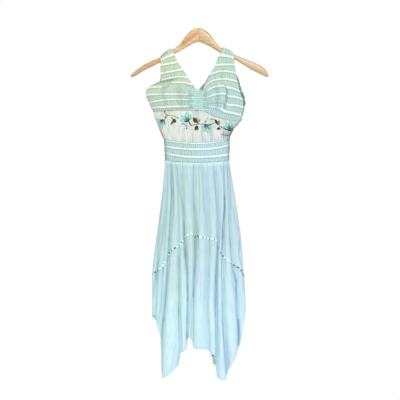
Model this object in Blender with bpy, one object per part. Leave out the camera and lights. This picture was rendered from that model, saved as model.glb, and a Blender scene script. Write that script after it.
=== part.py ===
"""Halter dress hanging on a wooden hanger, built in its real pieces.

The origin is where the hook's bend rests on the rail. +X is to the right seen from the front,
the front faces -Y and +Z is up. Tables are in millimetres and hold the drop below the origin.
"""
import bpy
import bmesh
import math
from mathutils import Vector

for old in list(bpy.data.objects):
    bpy.data.objects.remove(old, do_unlink=True)

MM = 0.001

# Cloth walls and gaps, in millimetres
SHIRRED_WALL = 1.6
GAUZE_WALL = 1.3
SKIRT_WALL = 1.5
PUFF_HEIGHT = 1.1
SEAM_GAP = 0.3
LOOSE_GAP = 0.5

# Hanger, in millimetres
HANGER_THICK = 12.0
HANGER_SECTION_POINTS = 12
HANGER_ROUNDING = 0.6
WIRE_RADIUS = 1.5
HOOK_INNER_RADIUS = 17.0
HOOK_START_ANGLE = -25.0
HOOK_END_ANGLE = 200.0
HOOK_ARC_STEPS = 16
HOOK_BEND_STEPS = 5
SHANK_TOP_DROP = 47.0
SHANK_FOOT_DROP = 80.0
HOLE_CLEARANCE = 0.35
HOLE_OVERSHOOT = 4.0
HOLE_SIDES = 16

# Columns: x along the hanger, drop of its top edge, drop of its underside, width as a share
HANGER = (
    (-222, 214, 219, 0.45),
    (-216, 208, 221, 0.80),
    (-204, 198, 215, 0.95),
    (-183, 182, 201, 1.0),
    (-155, 168, 187, 1.0),
    (-126, 156, 172, 1.0),
    (-94, 134, 153, 1.0),
    (-78, 126, 144, 1.0),
    (-61, 112, 135, 1.0),
    (-45, 88, 126, 1.0),
    (-29, 70, 117, 1.0),
    (-13, 61, 109, 1.0),
    (0, 59, 105, 1.0),
    (19, 66, 113, 1.0),
    (36, 81, 121, 1.0),
    (55, 109, 133, 1.0),
    (68, 123, 141, 1.0),
    (94, 136, 153, 1.0),
    (120, 149, 165, 1.0),
    (144, 159, 180, 1.0),
    (168, 168, 195, 1.0),
    (190, 178, 206, 1.0),
    (204, 184, 213, 0.95),
    (216, 195, 219, 0.85),
    (222, 204, 220, 0.75),
    (226, 214, 219, 0.45),
)

# Straps over the hanger arm, in millimetres
STRAP_RADIUS = 8.8
STRAP_ANGLES = (1.0, 30.0, 60.0, 90.0)
STRAP_LIFT = 0.5
STRAP_PUFF = 0.6
STRAP_CRUMPLE = 4.5
BODICE_COLUMNS = 11

# Top of each strap: x at the armhole side, x at the neck side
STRAP_TOPS = {"left": (-126, -86), "right": (113, 76)}

# Bodice rows from the strap down, each along a white line. Columns: x, drop and depth at the
# outer edge, then at the neck or centre edge, sag of the row's middle, bulge of its middle, how
# round the row runs into the side seam, how far it passes that seam, 1 if a puffed band follows.
CUP_LEFT = (
    (-125, 168, 9.0, -80, 148, 9.0, -2, 0, 0.0, 0, 1),
    (-125, 182, 9.4, -70, 172, 10.0, 0, 0, 0.0, 0, 1),
    (-124, 209, 11.0, -53, 196, 14.0, 0, 1, 0.1, 0, 1),
    (-124, 232, 13.0, -36, 224, 20.0, -6, 5, 0.3, 0, 0),
    (-152, 246, 6.0, -26, 240, 23.5, -3, 7, 0.9, 0, 0),
    (-165, 255, 0.15, -19, 254, 25.0, 0, 12, 1.0, 0, 1),
    (-173, 278, 0.15, -16, 279, 26.0, 0, 16, 1.0, 0, 1),
    (-163, 304, 0.15, -16, 299, 26.5, -6, 15, 1.0, 0, 1),
    (-155, 320, 0.15, -16, 317, 26.5, -1, 12, 1.0, 0, 1),
    (-150, 332, 0.15, -17, 329, 26.5, 0, 9, 1.0, 0, 0),
)
CUP_RIGHT = (
    (114, 160, 9.0, 63, 150, 9.0, -2, 0, 0.0, 0, 1),
    (115, 180, 9.6, 55, 180, 10.0, 0, 0, 0.0, 0, 1),
    (117, 207, 11.5, 39, 209, 14.0, -6, 2, 0.1, 0, 1),
    (125, 236, 14.0, 24, 238, 20.0, -9, 6, 0.3, 0, 1),
    (130, 268, 14.0, 13, 262, 25.0, -15, 12, 0.4, 0, 1),
    (136, 295, 13.0, 11, 285, 26.0, -15, 16, 0.4, 0, 1),
    (136, 319, 12.0, 11, 301, 26.5, -7, 16, 0.4, 0, 1),
    (131, 343, 11.0, 10, 316, 26.5, 1, 13, 0.4, 0, 1),
    (129, 364, 10.0, 8, 329, 26.5, 9, 9, 0.4, 0, 0),
)
BACK_LEFT = (
    (-125, 168, -9.0, -80, 148, -9.0, -2, 0, 0.0, 0, 1),
    (-125, 182, -9.4, -72, 172, -10.0, 0, 0, 0.0, 0, 1),
    (-125, 209, -10.5, -55, 196, -12.0, 0, 0, 0.1, 0, 1),
    (-128, 232, -8.0, -40, 224, -14.0, -3, 1, 0.5, 0, 1),
    (-165, 255, -0.15, -14, 252, -17.0, -3, 4, 1.0, 0, 1),
    (-173, 278, -0.15, -3, 276, -19.0, 0, 6, 1.0, 0, 1),
    (-163, 304, -0.15, -3, 303, -20.0, 0, 6, 1.0, 0, 1),
    (-150, 332, -0.15, -3, 331, -20.0, 0, 5, 1.0, 0, 0),
)
BACK_RIGHT = (
    (114, 160, -9.0, 63, 150, -9.0, -2, 0, 0.0, 0, 1),
    (116, 180, -9.6, 54, 180, -10.0, 0, 0, 0.0, 0, 1),
    (120, 207, -10.5, 36, 209, -12.0, 0, 0, 0.1, 0, 1),
    (132, 236, -4.0, 18, 238, -15.0, -3, 1, 0.6, 0, 1),
    (130.7, 268, 14.0, -2, 262, -18.0, -3, 4, 1.0, 12, 1),
    (136.7, 295, 13.0, -2, 285, -19.0, -3, 6, 1.0, 16, 1),
    (136.7, 319, 12.0, -2, 305, -20.0, -3, 6, 1.0, 14, 1),
    (129.7, 364, 10.0, -2, 331, -20.0, 0, 5, 1.0, 10, 0),
)
BAND_SHARES = (0.3, 0.7)
SEAM_TOP_DROP = 265.0
SEAM_BUST_DROP = 364.0
SEAM_WAIST_DROP = 423.0
BULGE_SKEW = 1.5
WRAP_PEAK = 0.16

# Ruched tab between the cups
TAB_COLUMNS = 4
TAB_RUCHES = 7
TAB_TOP_DROP = 266.0
TAB_FOOT_DROP = 329.0
TAB_HOLLOW = 1.5

# Midriff and waistband, in millimetres
MIDRIFF_ROWS = 6
GATHER_HEIGHT = 0.7
MIDRIFF_LEFT_EASE = 1.1
MIDRIFF_RIGHT_EASE = 1.9
WAIST_LEFT = -110.0
WAIST_RIGHT = 98.0
WAIST_FRONT_DEPTH = 26.0
WAIST_BACK_DEPTH = 22.0
WAIST_TOP_DROP = 435.0
WAIST_FOOT_DROP = 498.5
WAIST_TOP_SMILE = 12.0
WAIST_FOOT_SMILE = 7.0

# Rows across the waistband: share of its height, puff as a share of PUFF_HEIGHT
WAIST_ROWS = (
    (0.00, 0.2),
    (0.08, 1.0),
    (0.24, 1.0),
    (0.32, 0.0),
    (0.40, 1.0),
    (0.64, 1.0),
    (0.72, 0.0),
    (0.80, 1.0),
    (0.94, 1.0),
    (1.00, 0.2),
)

# Skirt. LEVELS are the drops at which the fold tables give x.
LEVELS = (499, 620, 733, 846, 960, 1073, 1186)
FRONT_DEPTH = (26, 34, 42, 50, 55, 58, 60)
BACK_DEPTH = (22, 28, 34, 40, 44, 46, 48)
FOLD_STEPS = 2
FOLD_STEEPNESS = 0.45
HEADING = ((0.0, 0.2), (4.0, 1.8), (9.0, 0.3))
HEADING_FADE = 40.0
SEAM_ROW = 4.0
NORMAL_STEP = 2.0
UPPER_ROWS = 7
FLOUNCE_ROWS = 9
BACK_UPPER_ROWS = 6
BACK_FLOUNCE_ROWS = 7
STEEP_GAP_GROWTH = 1.7
STEEP_GAP_LIMIT = 5.0

# Front folds from the left side seam to the right. Columns: 1 for a ridge, -1 for a valley and
# 0 for a side seam, x at each of LEVELS, depth at the waist, the seam and the hem, drop of the
# flounce seam, drop of the hem.
FRONT_FOLDS = (
    (0, (-110, -122, -137, -151, -152, -151, -151), (0, 0, 0), 860, 994),
    (1, (-108, -115, -130, -144, -148, -145, -145), (1, 3, 3), 857, 997),
    (-1, (-102, -108, -121, -136, -141, -138, -138), (2, 4, 5), 850, 1006),
    (1, (-95, -95, -107, -120, -129, -128, -128), (3, 5, 6), 838, 1036),
    (-1, (-89, -85, -94, -100, -112, -121, -122), (3, 6, 7), 790, 1168),
    (1, (-81, -76, -76, -86, -91, -99, -105), (3, 6, 8), 777, 1188),
    (-1, (-73, -68, -65, -65, -63, -60, -68), (2, 3, 7), 766, 1150),
    (1, (-66, -61, -57, -52, -49, -49, -47), (2, 4, 7), 757, 1105),
    (-1, (-58, -55, -48, -39, -34, -38, -38), (3, 8, 9), 742, 1078),
    (1, (-37, -36, -29, -27, -28, -30, -30), (3, 8, 8), 726, 1060),
    (-1, (-17, -17, -11, -15, -21, -22, -22), (3, 7, 7), 734, 1078),
    (1, (-2, 0, 6, 5, 0, 2, 2), (3, 6, 6), 739, 1102),
    (-1, (13, 19, 29, 28, 24, 31, 34), (3, 5, 4), 744, 1106),
    (1, (34, 41, 47, 44, 40, 45, 47), (3, 7, 8), 747, 1116),
    (-1, (54, 61, 63, 57, 55, 58, 58), (3, 9, 10), 753, 1160),
    (1, (68, 75, 71, 66, 66, 71, 74), (3, 7, 8), 788, 1193),
    (-1, (80, 83, 79, 75, 78, 85, 92), (3, 6, 8), 799, 1186),
    (1, (85, 90, 90, 94, 100, 106, 107), (2, 6, 9), 814, 1146),
    (-1, (90, 97, 102, 113, 125, 129, 128), (2, 5, 7), 828, 1102),
    (1, (94, 106, 119, 131, 139, 138, 138), (1, 3, 4), 842, 1048),
    (0, (98, 119, 135, 145, 152, 150, 150), (0, 0, 0), 868, 978),
)
BACK_FOLDS = (
    (0, (-110, -122, -137, -151, -152, -151, -151), (0, 0, 0), 860, 994),
    (1, (-103, -110, -124, -136, -140, -139, -139), (2, 3, 3), 850, 996),
    (-1, (-93, -97, -104, -112, -114, -112, -112), (3, 5, 6), 826, 1085),
    (1, (-78, -80, -84, -88, -88, -86, -86), (3, 7, 8), 796, 1108),
    (-1, (-61, -62, -63, -64, -62, -60, -60), (3, 6, 8), 770, 1075),
    (1, (-43, -43, -43, -42, -40, -38, -38), (3, 7, 8), 750, 1050),
    (-1, (-24, -24, -22, -20, -18, -16, -16), (3, 7, 8), 738, 1046),
    (1, (-4, -2, 0, 4, 6, 8, 8), (3, 6, 7), 732, 1062),
    (-1, (15, 18, 22, 26, 30, 32, 32), (3, 6, 8), 738, 1082),
    (1, (34, 39, 44, 50, 54, 56, 56), (3, 7, 8), 752, 1100),
    (-1, (52, 59, 66, 73, 78, 80, 80), (3, 7, 8), 774, 1112),
    (1, (69, 79, 88, 96, 101, 103, 103), (3, 6, 8), 800, 1082),
    (-1, (83, 97, 108, 117, 122, 124, 124), (2, 5, 6), 826, 1050),
    (1, (93, 111, 125, 134, 140, 141, 141), (1, 3, 3), 850, 985),
    (0, (98, 119, 135, 145, 152, 150, 150), (0, 0, 0), 868, 978),
)

# Braid over the flounce seam, in millimetres. Rows: fall from the seam, share of its thickness
TRIM_ROWS = ((-3.0, 0.7), (0.0, 1.0), (3.0, 0.7))
TRIM_THICK = 1.2
TRIM_BEAD = 0.5

FRONT = -1.0
BACK = 1.0

MATERIALS = {
    "striped_cloth": ((0.50, 0.70, 0.60, 1.0), 0.85, 0.0),
    "midriff_gauze": ((0.72, 0.76, 0.72, 1.0), 0.85, 0.0),
    "skirt_cloth": ((0.52, 0.78, 0.82, 1.0), 0.8, 0.0),
    "braid": ((0.70, 0.88, 0.90, 1.0), 0.6, 0.0),
    "wood": ((0.70, 0.47, 0.25, 1.0), 0.45, 0.0),
    "hook_steel": ((0.85, 0.86, 0.87, 1.0), 0.25, 1.0),
}


def make_material(name):
    colour, roughness, metallic = MATERIALS[name]
    made = bpy.data.materials.new(name)
    made.use_nodes = True
    shader = made.node_tree.nodes["Principled BSDF"]
    shader.inputs["Base Color"].default_value = colour
    shader.inputs["Roughness"].default_value = roughness
    shader.inputs["Metallic"].default_value = metallic
    return made


materials = {name: make_material(name) for name in MATERIALS}
dress = bpy.data.collections.new("halter_dress_on_hanger")
cutters = bpy.data.collections.new("cutters")
bpy.context.scene.collection.children.link(dress)
bpy.context.scene.collection.children.link(cutters)


def mix(first, second, share):
    return first + (second - first) * share


def along(places, values, place):
    """A smooth curve through values at places, read at place."""
    last = len(places) - 1
    if place <= places[0]:
        return values[0]
    if place >= places[last]:
        return values[last]
    at = 0
    while places[at + 1] < place:
        at += 1
    slopes = []
    for i in (at, at + 1):
        low = max(i - 1, 0)
        high = min(i + 1, last)
        slopes.append((values[high] - values[low]) / (places[high] - places[low]))
    width = places[at + 1] - places[at]
    t = (place - places[at]) / width
    rise = t * t * (3 - 2 * t)
    start = t * (1 - t) ** 2
    end = t * t * (t - 1)
    return mix(values[at], values[at + 1], rise) + width * (start * slopes[0] + end * slopes[1])


def straight(places, values, place):
    """Straight lines through values at places, read at place."""
    for at in range(len(places) - 1):
        if place <= places[at + 1]:
            share = (place - places[at]) / (places[at + 1] - places[at])
            return mix(values[at], values[at + 1], max(share, 0.0))
    return values[-1]


def link_mesh(name, mesh, material):
    made = bpy.data.objects.new(name, mesh)
    mesh.materials.append(materials[material])
    dress.objects.link(made)
    return made


def shell(name, outer, inner, material):
    """A closed wall from two grids of points in millimetres, each a list of columns."""
    columns = len(outer)
    rows = len(outer[0])
    mesh = bpy.data.meshes.new(name)
    build = bmesh.new()
    sides = []
    for grid in (outer, inner):
        sides.append([[build.verts.new(point * MM) for point in column] for column in grid])
    for side in sides:
        for c in range(columns - 1):
            for r in range(rows - 1):
                build.faces.new(
                    (side[c][r], side[c + 1][r], side[c + 1][r + 1], side[c][r + 1])
                )
    rim = [(c, 0) for c in range(columns)]
    rim += [(columns - 1, r) for r in range(1, rows)]
    rim += [(c, rows - 1) for c in range(columns - 2, -1, -1)]
    rim += [(0, r) for r in range(rows - 2, 0, -1)]
    for here, there in zip(rim, rim[1:] + rim[:1]):
        build.faces.new(
            (
                sides[0][here[0]][here[1]],
                sides[0][there[0]][there[1]],
                sides[1][there[0]][there[1]],
                sides[1][here[0]][here[1]],
            )
        )
    bmesh.ops.recalc_face_normals(build, faces=build.faces)
    build.to_mesh(mesh)
    build.free()
    return link_mesh(name, mesh, material)


def slope(points, at):
    """The direction of a line of points at one of them, curved at its ends as beside them."""
    if 0 < at < len(points) - 1:
        return points[at + 1] - points[at - 1]
    if at == 0:
        return points[1] * 4 - points[0] * 3 - points[2]
    return points[-1] * 3 - points[-2] * 4 + points[-3]


def grid_normals(grid, facing):
    """Outward normals of a grid of columns, facing the front or the back."""
    columns = len(grid)
    rows = len(grid[0])
    down = [[slope(column, r) for r in range(rows)] for column in grid]
    normals = [[] for _ in range(columns)]
    for r in range(rows):
        line = [column[r] for column in grid]
        for c in range(columns):
            normals[c].append(slope(line, c).cross(down[c][r]).normalized() * facing)
    return normals


def right_seam_normal(point, normal):
    """The walls' direction along the right side seam, which lies in front of the side."""
    drop = -point.z
    if drop < SEAM_TOP_DROP or point.x < WAIST_RIGHT:
        return normal
    turn = min(max((drop - SEAM_BUST_DROP) / (SEAM_WAIST_DROP - SEAM_BUST_DROP), 0.0), 1.0)
    return Vector((turn, turn - 1, 0)).normalized()


def wall(name, grid, raised, thickness, facing, material, level=(0, -1), across_x=1.0):
    """A cloth wall behind a grid, its outer points raised.

    Its edge at a side seam is square to the seam, and so are the rows named in level.
    """
    right_edge = 0 if across_x < 0 else len(grid) - 1
    normals = grid_normals(grid, facing * across_x)
    level_rows = [r % len(grid[0]) for r in level]
    outer = []
    inner = []
    for c, column in enumerate(grid):
        outer.append([])
        inner.append([])
        for r, point in enumerate(column):
            normal = normals[c][r]
            if abs(point.y) < SEAM_GAP:
                normal = Vector((normal.x, 0, normal.z)).normalized()
            if r in level_rows:
                normal = Vector((normal.x, normal.y, 0)).normalized()
            if c == right_edge:
                normal = right_seam_normal(point, normal)
            outer[c].append(point + normal * raised[c][r])
            inner[c].append(point - normal * thickness)
    return shell(name, outer, inner, material)


# Hanger
def hanger_top(x):
    return straight([row[0] for row in HANGER], [row[1] for row in HANGER], x)


def rounded(value):
    return math.copysign(abs(value) ** HANGER_ROUNDING, value)


def build_hanger():
    mesh = bpy.data.meshes.new("hanger_bar")
    build = bmesh.new()
    loops = []
    for x, top, under, width in HANGER:
        middle = -(top + under) / 2
        half = (under - top) / 2
        loop = []
        for i in range(HANGER_SECTION_POINTS):
            angle = 2 * math.pi * i / HANGER_SECTION_POINTS
            y = HANGER_THICK / 2 * width * rounded(math.cos(angle))
            z = middle + half * rounded(math.sin(angle))
            loop.append(build.verts.new(Vector((x, y, z)) * MM))
        loops.append(loop)
    for left, right in zip(loops, loops[1:]):
        for i in range(HANGER_SECTION_POINTS):
            j = (i + 1) % HANGER_SECTION_POINTS
            build.faces.new((left[i], left[j], right[j], right[i]))
    build.faces.new(loops[0])
    build.faces.new(loops[-1])
    bmesh.ops.recalc_face_normals(build, faces=build.faces)
    build.to_mesh(mesh)
    build.free()
    bar = link_mesh("hanger_bar", mesh, "wood")

    deep = (SHANK_FOOT_DROP + LOOSE_GAP) * MM
    high = (hanger_top(0) - HOLE_OVERSHOOT) * MM
    bpy.ops.mesh.primitive_cylinder_add(
        vertices=HOLE_SIDES,
        radius=(WIRE_RADIUS + HOLE_CLEARANCE) * MM,
        depth=deep - high,
        location=(0, 0, -(deep + high) / 2),
    )
    cutter = bpy.context.object
    cutter.name = "shank_hole_cutter"
    cutter.hide_render = True
    cutter.display_type = "WIRE"
    for home in list(cutter.users_collection):
        home.objects.unlink(cutter)
    cutters.objects.link(cutter)
    hole = bar.modifiers.new("shank hole", "BOOLEAN")
    hole.operation = "DIFFERENCE"
    hole.solver = "EXACT"
    hole.object = cutter


def build_hook():
    radius = HOOK_INNER_RADIUS + WIRE_RADIUS
    centre = Vector((0, 0, -HOOK_INNER_RADIUS))

    def on_bend(degrees):
        angle = math.radians(degrees)
        return centre + Vector((math.cos(angle), 0, math.sin(angle))) * radius

    start = math.radians(HOOK_START_ANGLE)
    join = on_bend(HOOK_START_ANGLE)
    top = Vector((0, 0, -SHANK_TOP_DROP))
    top_handle = top + Vector((0, 0, radius / 2))
    join_handle = join - Vector((-math.sin(start), 0, math.cos(start))) * radius / 2
    points = [Vector((0, 0, -SHANK_FOOT_DROP)), top]
    for i in range(1, HOOK_BEND_STEPS):
        t = i / HOOK_BEND_STEPS
        points.append(
            top * (1 - t) ** 3
            + top_handle * 3 * t * (1 - t) ** 2
            + join_handle * 3 * t * t * (1 - t)
            + join * t**3
        )
    for i in range(HOOK_ARC_STEPS + 1):
        points.append(on_bend(mix(HOOK_START_ANGLE, HOOK_END_ANGLE, i / HOOK_ARC_STEPS)))
    curve = bpy.data.curves.new("hanger_hook", "CURVE")
    curve.dimensions = "3D"
    curve.bevel_depth = WIRE_RADIUS * MM
    curve.bevel_resolution = 2
    curve.use_fill_caps = True
    spline = curve.splines.new("POLY")
    spline.points.add(len(points) - 1)
    for point, place in zip(spline.points, points):
        point.co = (place.x * MM, place.y * MM, place.z * MM, 1)
    hook = bpy.data.objects.new("hanger_hook", curve)
    curve.materials.append(materials["hook_steel"])
    dress.objects.link(hook)


# Bodice
def bodice_point(row, u):
    """A point on a bodice row, u from 0 at its outer edge to 1 at its neck or centre edge."""
    x_out, drop_out, deep_out, x_in, drop_in, deep_in, sag, bulge, turn, wrap = row[:10]
    turned = math.pi / 2 * u
    x_share = mix(u, 1 - math.cos(turned), turn)
    y_share = mix(u, math.sin(turned), turn)
    x = mix(x_out, x_in, x_share)
    x += math.copysign(wrap, x_out) * (u / WRAP_PEAK) * math.exp(1 - u / WRAP_PEAK)
    drop = mix(drop_out, drop_in, x_share) + 4 * x_share * (1 - x_share) * sag
    deep = mix(deep_out, deep_in, y_share)
    swell = bulge * math.sin(math.pi * u**BULGE_SKEW)
    deep += math.copysign(swell, deep_in)
    return Vector((x, -deep, -drop))


def strap_point(side, facing, angle, u):
    x_out, x_in = STRAP_TOPS[side]
    x = mix(x_out, x_in, u)
    lift = STRAP_LIFT + STRAP_CRUMPLE * math.sin(math.pi * u) * math.cos(math.radians(angle)) ** 2
    y = facing * STRAP_RADIUS * math.sin(math.radians(angle))
    up = STRAP_RADIUS * math.cos(math.radians(angle))
    return Vector((x, y, -hanger_top(x) - HANGER_THICK / 2 + up + lift))


def build_bodice(name, rows, side, facing):
    shares = [i / BODICE_COLUMNS for i in range(BODICE_COLUMNS + 1)]
    lines = []
    puffs = []
    for angle in STRAP_ANGLES:
        lines.append([strap_point(side, facing, angle, u) for u in shares])
        puffs.append(PUFF_HEIGHT * STRAP_PUFF)
    for at, row in enumerate(rows):
        lines.append([bodice_point(row, u) for u in shares])
        puffs.append(0.0)
        if row[10]:
            following = rows[at + 1]
            for share in BAND_SHARES:
                between = [mix(a, b, share) for a, b in zip(row[:10], following[:10])]
                lines.append([bodice_point(between, u) for u in shares])
                puffs.append(PUFF_HEIGHT)
    grid = [[line[c] for line in lines] for c in range(len(shares))]
    raised = [puffs for _ in shares]
    inward = -1.0 if side == "right" else 1.0
    wall(name, grid, raised, SHIRRED_WALL, facing, "striped_cloth", (-1,), inward)
    return grid if side == "left" else grid[::-1]


def inner_edge(rows, drop):
    """x and depth of a cup's centre edge at a drop."""
    drops = [row[4] for row in rows]
    x = straight(drops, [row[3] for row in rows], drop)
    return x, straight(drops, [row[5] for row in rows], drop)


def build_tab():
    rows = 2 * TAB_RUCHES
    grid = [[] for _ in range(TAB_COLUMNS + 1)]
    raised = [[] for _ in range(TAB_COLUMNS + 1)]
    for r in range(rows + 1):
        drop = mix(TAB_TOP_DROP, TAB_FOOT_DROP, r / rows)
        left, left_deep = inner_edge(CUP_LEFT, drop)
        right, right_deep = inner_edge(CUP_RIGHT, drop)
        for c in range(TAB_COLUMNS + 1):
            share = c / TAB_COLUMNS
            x = mix(left + SEAM_GAP, right - SEAM_GAP, share)
            deep = mix(left_deep, right_deep, share) - TAB_HOLLOW * math.sin(math.pi * share)
            grid[c].append(Vector((x, -deep, -drop)))
            raised[c].append(PUFF_HEIGHT * (r % 2))
    wall("centre_gather", grid, raised, SHIRRED_WALL, FRONT, "striped_cloth")
    return grid


# Midriff and waistband
def waist_point(x_share, v, facing):
    """A point of the waistband, v from 0 at its top edge to 1 at its foot."""
    c = 2 * x_share - 1
    x = mix(WAIST_LEFT, WAIST_RIGHT, x_share)
    depth = WAIST_FRONT_DEPTH if facing == FRONT else WAIST_BACK_DEPTH
    y = facing * (depth * math.sqrt(max(1 - c * c, 0)) + SEAM_GAP / 2)
    top = WAIST_TOP_DROP - WAIST_TOP_SMILE * c * c
    foot = WAIST_FOOT_DROP - WAIST_FOOT_SMILE * c * c
    return Vector((x, y, -mix(top, foot, v)))


def build_midriff(name, top_edge, facing):
    """The gathered panel between a bodice edge and the waistband; returns its x shares."""
    shares = [0.0]
    for here, there in zip(top_edge, top_edge[1:]):
        shares.append(shares[-1] + math.hypot(there.x - here.x, there.y - here.y))
    shares = [share / shares[-1] for share in shares]
    grid = []
    raised = []
    for i, (p, share) in enumerate(zip(top_edge, shares)):
        start = p - Vector((0, 0, SEAM_GAP))
        end = waist_point(waist_share(share), 0.0, facing) + Vector((0, 0, SEAM_GAP))
        column = []
        lifts = []
        for r in range(MIDRIFF_ROWS + 1):
            v = r / MIDRIFF_ROWS
            ease = mix(MIDRIFF_LEFT_EASE, MIDRIFF_RIGHT_EASE, share)
            drawn = 1 - (1 - v) ** ease
            point = Vector((mix(start.x, end.x, drawn), mix(start.y, end.y, v), 0))
            point.z = mix(start.z, end.z, v)
            column.append(point)
            lifts.append(GATHER_HEIGHT * (i % 2) * math.sin(math.pi * v) ** 0.5)
        grid.append(column)
        raised.append(lifts)
    wall(name, grid, raised, GAUZE_WALL, facing, "midriff_gauze")
    return [waist_share(share) for share in shares]


def waist_share(share):
    """Spreads a share of the width so that the ends turn round the side seams evenly."""
    return mix(share, 0.5 - 0.5 * math.cos(math.pi * share), 0.5)


def build_waistband(name, shares, facing):
    grid = []
    raised = []
    for share in shares:
        grid.append([waist_point(share, v, facing) for v, _ in WAIST_ROWS])
        raised.append([puff * PUFF_HEIGHT for _, puff in WAIST_ROWS])
    wall(name, grid, raised, SHIRRED_WALL, facing, "striped_cloth")


# Skirt
def make_columns(folds):
    """Columns between folds: (fold table position, wave as a share)."""
    columns = []
    for at in range(len(folds) - 1):
        for step in range(FOLD_STEPS):
            columns.append((at, step / FOLD_STEPS))
    columns.append((len(folds) - 2, 1.0))
    return columns


def fold_x(folds, at, drop):
    return along(LEVELS, folds[at][1], drop)


def fold_depth(folds, at, drop):
    """Depth of a ridge or valley from the mean surface, less where folds stand close."""
    kind, _, depths, seam, hem = folds[at]
    if kind == 0:
        return 0.0
    wanted = straight((LEVELS[0], seam, hem), depths, drop)
    wanted *= min(max((drop - LEVELS[0]) / HEADING_FADE, 0.0), 1.0)
    here = fold_x(folds, at, drop)
    room = min(
        here - fold_x(folds, at - 1, drop),
        fold_x(folds, at + 1, drop) - here,
    )
    return kind * min(wanted, max(room, 0.0) * FOLD_STEEPNESS)


def skirt_point(folds, column, drop, facing):
    at, share = column
    x = mix(fold_x(folds, at, drop), fold_x(folds, at + 1, drop), share)
    smooth = 0.5 - 0.5 * math.cos(math.pi * share)
    wave = mix(fold_depth(folds, at, drop), fold_depth(folds, at + 1, drop), smooth)
    left = fold_x(folds, 0, drop)
    right = fold_x(folds, len(folds) - 1, drop)
    half = (right - left) / 2
    depth = along(LEVELS, FRONT_DEPTH if facing == FRONT else BACK_DEPTH, drop)
    c = min(max((x - (left + right) / 2) / half, -1.0), 1.0)
    s = math.sqrt(1 - c * c)
    out = Vector((c / half, facing * s / depth, 0)).normalized()
    base = Vector((x, facing * (depth * s + SEAM_GAP / 2), -drop))
    return base + out * wave


def skirt_normal(folds, columns, i, drop, facing):
    last = len(columns) - 1
    right = skirt_point(folds, columns[min(i + 1, last)], drop, facing)
    left = skirt_point(folds, columns[max(i - 1, 0)], drop, facing)
    below = skirt_point(folds, columns[i], drop + NORMAL_STEP, facing)
    above = skirt_point(folds, columns[i], drop - NORMAL_STEP, facing)
    normal = (right - left).cross(below - above).normalized() * facing
    if i in (0, last):
        normal = Vector((normal.x, 0, normal.z)).normalized()
    return normal


def column_drop(folds, column, field):
    at, share = column
    return mix(folds[at][field], folds[at + 1][field], share)


def steepness(folds, columns, i):
    """How much longer than level the flounce seam runs at a column."""
    longest = 1.0
    drop = column_drop(folds, columns[i], 3)
    here = skirt_point(folds, columns[i], drop, FRONT)
    for j in (i - 1, i + 1):
        if 0 <= j < len(columns):
            other = column_drop(folds, columns[j], 3)
            there = skirt_point(folds, columns[j], other, FRONT)
            level = math.hypot(there.x - here.x, there.y - here.y)
            longest = max(longest, math.hypot(level, other - drop) / max(level, 0.1))
    return longest


def skirt_top(folds, column):
    """Drop of the skirt's top edge, along the waistband's curved foot."""
    x = mix(fold_x(folds, column[0], LEVELS[0]), fold_x(folds, column[0] + 1, LEVELS[0]), column[1])
    c = 2 * (x - WAIST_LEFT) / (WAIST_RIGHT - WAIST_LEFT) - 1
    return WAIST_FOOT_DROP - WAIST_FOOT_SMILE * c * c + SEAM_GAP


def skirt_wall(name, folds, columns, drops, lifts, facing, sewn_foot):
    outer = []
    inner = []
    for i, column in enumerate(columns):
        outs = []
        ins = []
        for drop, lift in zip(drops[i], lifts):
            normal = skirt_normal(folds, columns, i, drop, facing)
            if drop == drops[i][0] or (sewn_foot and drop == drops[i][-1]):
                if drop > LEVELS[1]:
                    seam = column_drop(folds, column, 3)
                    normal = skirt_normal(folds, columns, i, seam, facing)
                normal = Vector((normal.x, normal.y, 0)).normalized()
            point = skirt_point(folds, column, drop, facing)
            outs.append(point + normal * lift)
            ins.append(point - normal * SKIRT_WALL)
        outer.append(outs)
        inner.append(ins)
    shell(name, outer, inner, "skirt_cloth")


def build_skirt(label, folds, upper_rows, flounce_rows, facing):
    columns = make_columns(folds)
    upper = []
    lower = []
    for i, column in enumerate(columns):
        top = skirt_top(folds, column)
        seam = column_drop(folds, column, 3)
        hem = column_drop(folds, column, 4)
        steep = steepness(folds, columns, i)
        gap = min(SEAM_GAP / 2 * steep**STEEP_GAP_GROWTH, STEEP_GAP_LIMIT)
        drops = [top + fall for fall, _ in HEADING]
        foot = seam - SEAM_ROW - gap
        for r in range(1, upper_rows + 1):
            drops.append(mix(top + HEADING[-1][0], foot, r / upper_rows))
        drops.append(seam - gap)
        upper.append(drops)
        start = seam + SEAM_ROW + gap
        lower.append([seam + gap])
        for r in range(flounce_rows + 1):
            lower[-1].append(mix(start, hem, r / flounce_rows))
    lifts = [lift for _, lift in HEADING] + [0.0] * (upper_rows + 1)
    skirt_wall("skirt_" + label, folds, columns, upper, lifts, facing, True)
    lifts = [0.0] * (flounce_rows + 2)
    skirt_wall("flounce_" + label, folds, columns, lower, lifts, facing, False)

    outer = []
    inner = []
    for i, column in enumerate(columns):
        seam = column_drop(folds, column, 3)
        normal = skirt_normal(folds, columns, i, seam, facing)
        bead = TRIM_THICK + TRIM_BEAD * (i % 2)
        outs = []
        ins = []
        for fall, share in TRIM_ROWS:
            point = skirt_point(folds, column, seam + fall, facing)
            ins.append(point + normal * LOOSE_GAP)
            outs.append(point + normal * (LOOSE_GAP + bead * share))
        outer.append(outs)
        inner.append(ins)
    shell("trim_" + label, outer, inner, "braid")


build_hanger()
build_hook()

cup_left = build_bodice("cup_left", CUP_LEFT, "left", FRONT)
cup_right = build_bodice("cup_right", CUP_RIGHT, "right", FRONT)
tab = build_tab()
back_left = build_bodice("back_left", BACK_LEFT, "left", BACK)
back_right = build_bodice("back_right", BACK_RIGHT, "right", BACK)

front_edge = [column[-1] for column in cup_left]
front_edge += [column[-1] for column in tab[1:-1]]
front_edge += [column[-1] for column in cup_right]
back_edge = [column[-1] for column in back_left[:-1]]
back_edge += [column[-1] for column in back_right]

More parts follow.
